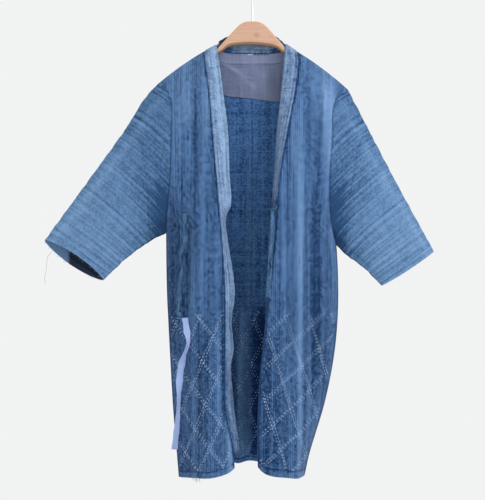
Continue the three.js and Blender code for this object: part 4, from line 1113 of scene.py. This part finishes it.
def whipped(first, last, side, gap, thread, reach, seed):
    """Stitches over the collar's free edge between two places of it: each comes up through the front
    face, passes round the fold and goes in behind, leaning a little down the band."""
    rng = np.random.default_rng(seed)
    rings = band_rings[0]
    half, places = len(right_arm[0]), band[3]
    index = np.arange(half) if side < 0 else np.arange(half, len(rings))
    index = index[(rings[index, 0, 0] * side >= 0) & (places[index] >= first) & (places[index] <= last)]
    count = int(run_length(rings[index, FOLD_FRONT])[-1] / gap)
    rows = np.linspace(index[0], index[-1] - 2, count) + rng.uniform(-0.15, 0.15, count)
    rows = np.clip(rows, index[0], index[-1] - 2)

    def on(row, column):
        """The band's surface at a row between two rings."""
        whole = np.floor(row).astype(int)
        return lerp(rings[whole, column], rings[whole + 1, column], (row - whole)[:, None])

    def near(row, fold, columns):
        """Away from the fold by a share, the reach, of so many columns."""
        return lerp(on(row, fold), on(row, fold + columns), reach)

    normal = unit(on(rows, FOLD_FRONT - 4) - on(rows, FOLD_BACK + 4))
    out = unit(on(rows, FOLD_FRONT) - on(rows, FOLD_FRONT - 4))
    lean = rows + rng.uniform(0.2, 0.7, len(rows))
    stand = thread * rng.uniform(0.3, 1.9, len(rows))[:, None]
    paths = np.stack([near(rows, FOLD_FRONT, -4) - normal * 0.6, near(rows, FOLD_FRONT, -2) + normal * stand,
                      on(lean, FOLD_FRONT) + out * stand, near(lean, FOLD_BACK, 2) - normal * stand,
                      near(lean, FOLD_BACK, 4) + normal * 0.6], axis=1)
    return paths, thread * rng.uniform(0.75, 1.2, (len(rows), 1)) * np.array([0.7, 1, 1, 1, 0.7])


def frayed(roots, away, length, seed):
    """Loose yarn ends: from each root a thread of four points runs away from the cloth, bends aside
    as the square of its length and drops a little."""
    rng = np.random.default_rng(seed)
    t = np.array([-0.15, 0.3, 0.65, 1.0])[None, :, None]
    size = rng.uniform(*length, (len(roots), 1, 1))
    aside = rng.normal(0, 1, (len(roots), 1, 3)) * [1, 0.6, 0.6]
    away = np.broadcast_to(away, roots.shape)[:, None]
    paths = roots[:, None] + size * (t * away + 0.45 * t * t * aside - [0, 0, 0.15] * t * t)
    return paths, [0.3, 0.26, 0.2, 0.14]


def knot(sections, x, z, size, thread):
    """An overhand knot just in front of the cloth: the trefoil (sin t + 2 sin 2t, -sin 3t,
    cos t - 2 cos 2t), with its depth 1.4 times as great."""
    t = np.linspace(0, 2 * np.pi, 48)
    shape = np.stack([np.sin(t) + 2 * np.sin(2 * t), -1.4 * np.sin(3 * t),
                      np.cos(t) - 2 * np.cos(2 * t)], -1)
    y = front_depth(sections, x, z) - 0.55 * size - thread
    return (shape * size / 3 + [x, float(y), z])[None], thread


hem_paths, lining_paths, slub_paths = [], [], []
slub_spots = np.array([[(x, z + 0.4 * np.sin(x / 9)) for x in np.linspace(a, b, 14)] for a, b, z in SLUBS])
for _, side, sections, seed in HALVES:
    for surface, face, facing in ((front_surface, front_face(sections, seed), -1),
                                  (back_surface, back_face(seed + 1), 1)):
        ends = surface(sections, np.array([HEM_LINE, HEM_LINE]), np.array([0.0, 1.0]))
        width = np.linalg.norm(ends[1] - ends[0])
        middle = np.arange(HEM_STEP, width - HEM_STEP, HEM_STEP)[:, None]
        share = (middle + STITCH_POINTS * HEM_STITCH / 2) / width
        hem_paths.append(laid_on(surface, sections, 0 * share + HEM_LINE, share, face, facing))
    share = np.arange(0.03, 0.6, 0.025)[:, None] + STITCH_POINTS * 0.007
    lining_paths.append(laid_on(back_surface, sections, 0 * share + LINING_LINE_AT, share,
                                layer_face(SHOULDER_SEED), -1))
    half = slub_spots.copy()
    ends = np.sort(np.abs(np.where(half[..., 0] * side > 0, half[..., 0], 0.8)), axis=1)
    half[..., 0] = side * np.linspace(np.maximum(ends[:, 0], 0.8), ends[:, -1], 14).T
    slub_paths.append(sewn_through(
        back_surface, sections, half,
        lambda at, share, point: BODY_CLOTH / 2 - back_relief(at, share, point, seed + 1),
        -1, (0, 0.9), 9, 0.3))
shoulder_paths = sewn_through(front_surface, RIGHT_FRONT, dashes(*SHOULDER_LINE, 6.5, 4),
                              front_face(RIGHT_FRONT, RIGHT_SEED), -1, (0.02, 0.98), 3, 0.6)
nape_paths = sewn_through(back_surface, LEFT_FRONT, dashes(*NAPE_LINE, 7.4, 5.6),
                          layer_face(STRIP_SEED), -1, (0, 1), 1, 1.1)
patch_paths = sewn_through(back_surface, RIGHT_FRONT, dashes(*NAPE_PATCH, 1.9, 2.6),
                           layer_face(STRIP_SEED), -1, (0, 1), 1)

rng = np.random.default_rng(8)
before_edge, cuff_edge = sleeve_surface(SLEEVES["right"], np.array([0.985, 1.0]))[0]
picked = rng.uniform(0, len(cuff_edge) - 1.001, CUFF_ENDS)
low = picked.astype(int)
cuff_roots = lerp(cuff_edge[low], cuff_edge[low + 1], (picked - low)[:, None])
cuff_away = unit(cuff_edge[low] - before_edge[low])
hem_x = rng.uniform(-138, -116, HEM_ENDS)
hem_roots = front_surface(RIGHT_FRONT, np.full(HEM_ENDS, FRAYED_HEM_AT), (hem_x + 40) / -126)
tail_roots = band_rings[0][0][rng.integers(2, 30, TAIL_ENDS)]
loose = curve(np.column_stack([np.linspace(0, 1, len(LOOSE_THREAD)), LOOSE_THREAD]), np.linspace(0, 1, 60))
down = [0.0, 0.0, -1.0]

for name, (paths, radii), sides, material, slot in (
        ("hem_stitches", (np.concatenate(hem_paths), THREAD), 4, navy_cotton, "indigo_twill"),
        ("shoulder_stitches", (shoulder_paths, 0.6), 5, navy_cotton, "indigo_twill"),
        ("nape_stitches", (nape_paths, 1.0), 6, navy_cotton, "lavender_cotton"),
        ("nape_patch", (patch_paths, 0.8), 6, pale_thread, "lavender_cotton"),
        ("lining_stitches", (np.concatenate(lining_paths), 0.4), 4, navy_cotton, "lavender_cotton"),
        ("slub_yarns", (np.concatenate(slub_paths), 0.3), 4, pale_indigo, "inside_indigo"),
        ("collar_whip_left", whipped(0.0, 5.5, 1, 3.4, 1.1, 0.7, 41), 5, pale_indigo, "pale_collar"),
        ("collar_whip_right", whipped(1.0, 3.4, -1, 5.5, 0.5, 0.4, 42), 5, navy_cotton, "pale_collar"),
        ("collar_top_right", whipped(-0.52, -0.14, -1, 3.6, 1.5, 0.9, 43), 6, navy_cotton, "pale_collar"),
        ("collar_top_left", whipped(-0.5, -0.2, 1, 3.6, 1.5, 0.9, 44), 6, navy_cotton, "pale_collar"),
        ("cuff_fray", frayed(cuff_roots, cuff_away, (1.2, 4.5), 45), 4, pale_indigo, "indigo_sleeve"),
        ("hem_fray", frayed(hem_roots, down, (4, 10), 46), 4, navy_cotton, "indigo_twill"),
        ("collar_tail_fray", frayed(tail_roots, down, (2.5, 8), 47), 4, pale_indigo, "pale_collar"),
        ("cuff_thread", (loose[None], 0.26), 6, navy_cotton, "indigo_sleeve"),
        ("knot_right", knot(RIGHT_FRONT, -149, -535, 6.4, 2.5), 12, tie_cotton, "inside_indigo"),
        ("knot_left", knot(LEFT_FRONT, 47, -520, 5.4, 2.2), 12, tie_cotton, "inside_indigo")):
    piece = tubes(name, paths, radii, sides)
    piece.data.materials.append(material)
    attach(piece, "root")

# Hanger.
# A flat beech board with a domed middle and sloping arms. Its edges are rounded over and
# varnished, and there is a small knot in the dome. A painted highlight runs along the rounded
# edges, and painted shade darkens the faces turned down.
HANGER_DEPTH, HANGER_CLEAR, HANGER_END = 11, 4.3, 205
HANGER_BEVEL, LOWER_BEVEL = 4.2, 8.4
WOOD_KNOT, KNOT_INNER, KNOT_OUTER, KNOT_RINGS = (0.0095, -0.006, -0.1255), 0.0035, 0.0085, 2600
WOOD_DARK, WOOD_LIGHT, KNOT_COLOUR = (0.40, 0.22, 0.13, 1), (0.60, 0.38, 0.27, 1), (0.33, 0.18, 0.12, 1)
# the rim colour is a painted highlight along the rounded edges; the underside colour is painted shade on the
# faces turned down
RIM_HIGHLIGHT, UNDERSIDE_SHADE = (0.66, 0.32, 0.12, 1), (0.2, 0.1, 0.05, 1)
ARM_HEIGHT, ARM_END_DROP, DOME_TOP = 14, 2.5, -94


def hanger_outline():
    """Half of the outline as listed, mirrored, then sheared by the tilt and smoothed to even steps."""
    def arm_top(reach):
        """Height of the arm's upper edge, just below the shoulder ridge."""
        return RIDGE_TOP - RIDGE_SLOPE * reach - RIDGE_DROOP * reach ** 2 - HANGER_CLEAR

    reach = np.arange(112, HANGER_END - 10, 19.0)
    end_x = HANGER_END - ARM_HEIGHT / 2
    end_z = arm_top(end_x) - ARM_HEIGHT / 2 - ARM_END_DROP
    round_end = np.radians([30, -10, -50, -90, -130])
    back = np.array([180, 160, 140, 120, 100.0])
    half = np.concatenate([
        [[0, DOME_TOP], [14, -95], [25, -99.5], [34, -107], [56, -131], [68, -144.5], [80, -157.5],
         [92, -165]],
        np.stack([reach, arm_top(reach)], -1),
        np.array([end_x, end_z]) + ARM_HEIGHT / 2 * np.stack([np.cos(round_end), np.sin(round_end)], -1),
        np.stack([back, arm_top(back) - ARM_HEIGHT], -1),
        [[84, -174.5], [68, -163.5], [53, -153], [28, -148.5], [0, -147]]])
    outline = np.concatenate([half, half[-2:0:-1] * [-1, 1]])
    outline[:, 1] -= RIDGE_TILT * outline[:, 0]
    closed = np.concatenate([outline[-2:], outline, outline[:3]])
    length = run_length(closed)
    even = np.linspace(length[2], length[-3], 421)[:-1]
    return curve(np.column_stack([length, closed]), even)


def board_rings(outline):
    """Rings across the board's thickness: each is the outline drawn in by the bevel's circle at that
    depth. The bevel is larger along the lower edge."""
    tangent = unit(np.roll(outline, -1, axis=0) - np.roll(outline, 1, axis=0))
    inward = np.stack([tangent[:, 1], -tangent[:, 0]], -1)
    angle = np.linspace(0, np.pi / 2, 9)
    draw = HANGER_BEVEL * (1 - np.sin(angle))
    reach = np.abs(outline[:, 0])
    lower = smooth(0.3, 0.95, inward[:, 1]) * (1 - smooth(150, 175, reach))
    lower = lower * (1 - 0.6 * smooth(45, 75, reach))
    lower = 1 + (LOWER_BEVEL / HANGER_BEVEL - 1) * lower[:, None]
    deep = HANGER_DEPTH / 2 - HANGER_BEVEL * (1 - np.cos(angle))
    rings = []
    for amount, y in [*zip(draw, -deep), *zip(draw[::-1], deep[::-1])]:
        shape = outline + inward * amount * lower
        rings.append(np.stack([shape[:, 0], 0 * shape[:, 0] + y, shape[:, 1]], -1))
    return np.array(rings)[None]


board = ringed_mesh("hanger_board", board_rings(hanger_outline()))
beech, tree, varnish = new_material(
    "varnished_beech", {"Roughness": 0.4, "Coat Weight": 0.3, "Coat Roughness": 0.25})
spot = add_node(tree, "TexCoord").outputs["Object"]
along = add_node(tree, "Mapping", {0: spot, "Scale": (5, 40, 90)}).outputs[0]
grain = add_node(tree, "TexNoise", {"Vector": along, "Scale": 3, "Detail": 5, "Distortion": 0.6}).outputs[0]
from_knot = add_node(tree, "VectorMath", {0: spot, 1: WOOD_KNOT}, operation="DISTANCE").outputs["Value"]
ring = calc(tree, "SINE", calc(tree, "MULTIPLY", from_knot, KNOT_RINGS))
knotted = calc(tree, "MULTIPLY", ramp(tree, from_knot, KNOT_INNER, KNOT_OUTER, 1, 0),
               calc(tree, "MULTIPLY_ADD", ring, 0.2, 0.55), clamp=True)
faces = add_node(tree, "SeparateXYZ", {0: add_node(tree, "NewGeometry").outputs["Normal"]}).outputs
# painted highlight on the rounded edge between the flat front and back faces and the sides
rim = ramp(tree, calc(tree, "ABSOLUTE", faces["Y"]), 0.985, 0.8, 0, 0.85)
# painted shade on the faces turned down
under = ramp(tree, faces["Z"], -0.08, -0.22, 0, 0.9)
wood = blend(tree, grain, WOOD_DARK, WOOD_LIGHT)
for share, colour in ((knotted, KNOT_COLOUR), (rim, RIM_HIGHLIGHT), (under, UNDERSIDE_SHADE)):
    wood = blend(tree, share, wood, colour)
bump = add_node(tree, "Bump", {"Height": grain, "Distance": 0.0002, "Strength": 0.4}).outputs[0]
set_inputs(tree, varnish, {"Base Color": wood, "Normal": bump})
board.data.materials.append(beech)
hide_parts("hanger_wood")
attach(board, "root")

# Hook.
# One bright steel wire, straight where it leaves the dome, bent aside and over into a crook.
HOOK_WIRE, HOOK_RADIUS, HOOK_STEPS = 2.1, 17, 120
STEEL_DARK, STEEL_LIGHT = (0.5, 0.5, 0.51, 1), (0.74, 0.74, 0.76, 1)

crook = np.radians(np.arange(0, 206, 10.25))
bend = [[0, 0, DOME_TOP - 6], [0, 0, -78], [0, 0, -62], [0, 0, -46], [4.5, 0, -38], [12, 0, -29]]
crook_points = np.stack([HOOK_RADIUS * np.cos(crook), 0 * crook,
                         HOOK_WIRE - HOOK_RADIUS + HOOK_RADIUS * np.sin(crook)], -1)
line = np.concatenate([bend, crook_points])
length = run_length(line)
wire = curve(np.column_stack([length, line]), np.linspace(0, length[-1], HOOK_STEPS))
round_end = np.sqrt(np.clip((1 - np.linspace(0, 1, HOOK_STEPS)) / 0.012, 0.05, 1))
hook = tubes("hook_wire", wire[None], HOOK_WIRE * round_end, 16)
steel, tree, surface = new_material("drawn_wire", {"Metallic": 1})
spot = add_node(tree, "UVMap", uv_map="pattern").outputs[0]
along = add_node(tree, "Mapping", {0: spot, "Scale": (900, 30, 1)}).outputs[0]
drawn = add_node(tree, "TexNoise", {"Vector": along, "Scale": 1, "Detail": 2}).outputs[0]
set_inputs(tree, surface, {"Base Color": blend(tree, drawn, STEEL_DARK, STEEL_LIGHT),
                           "Roughness": calc(tree, "MULTIPLY_ADD", drawn, 0.2, 0.22)})
hook.data.materials.append(steel)
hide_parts("hanger_hook")
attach(hook, "root")
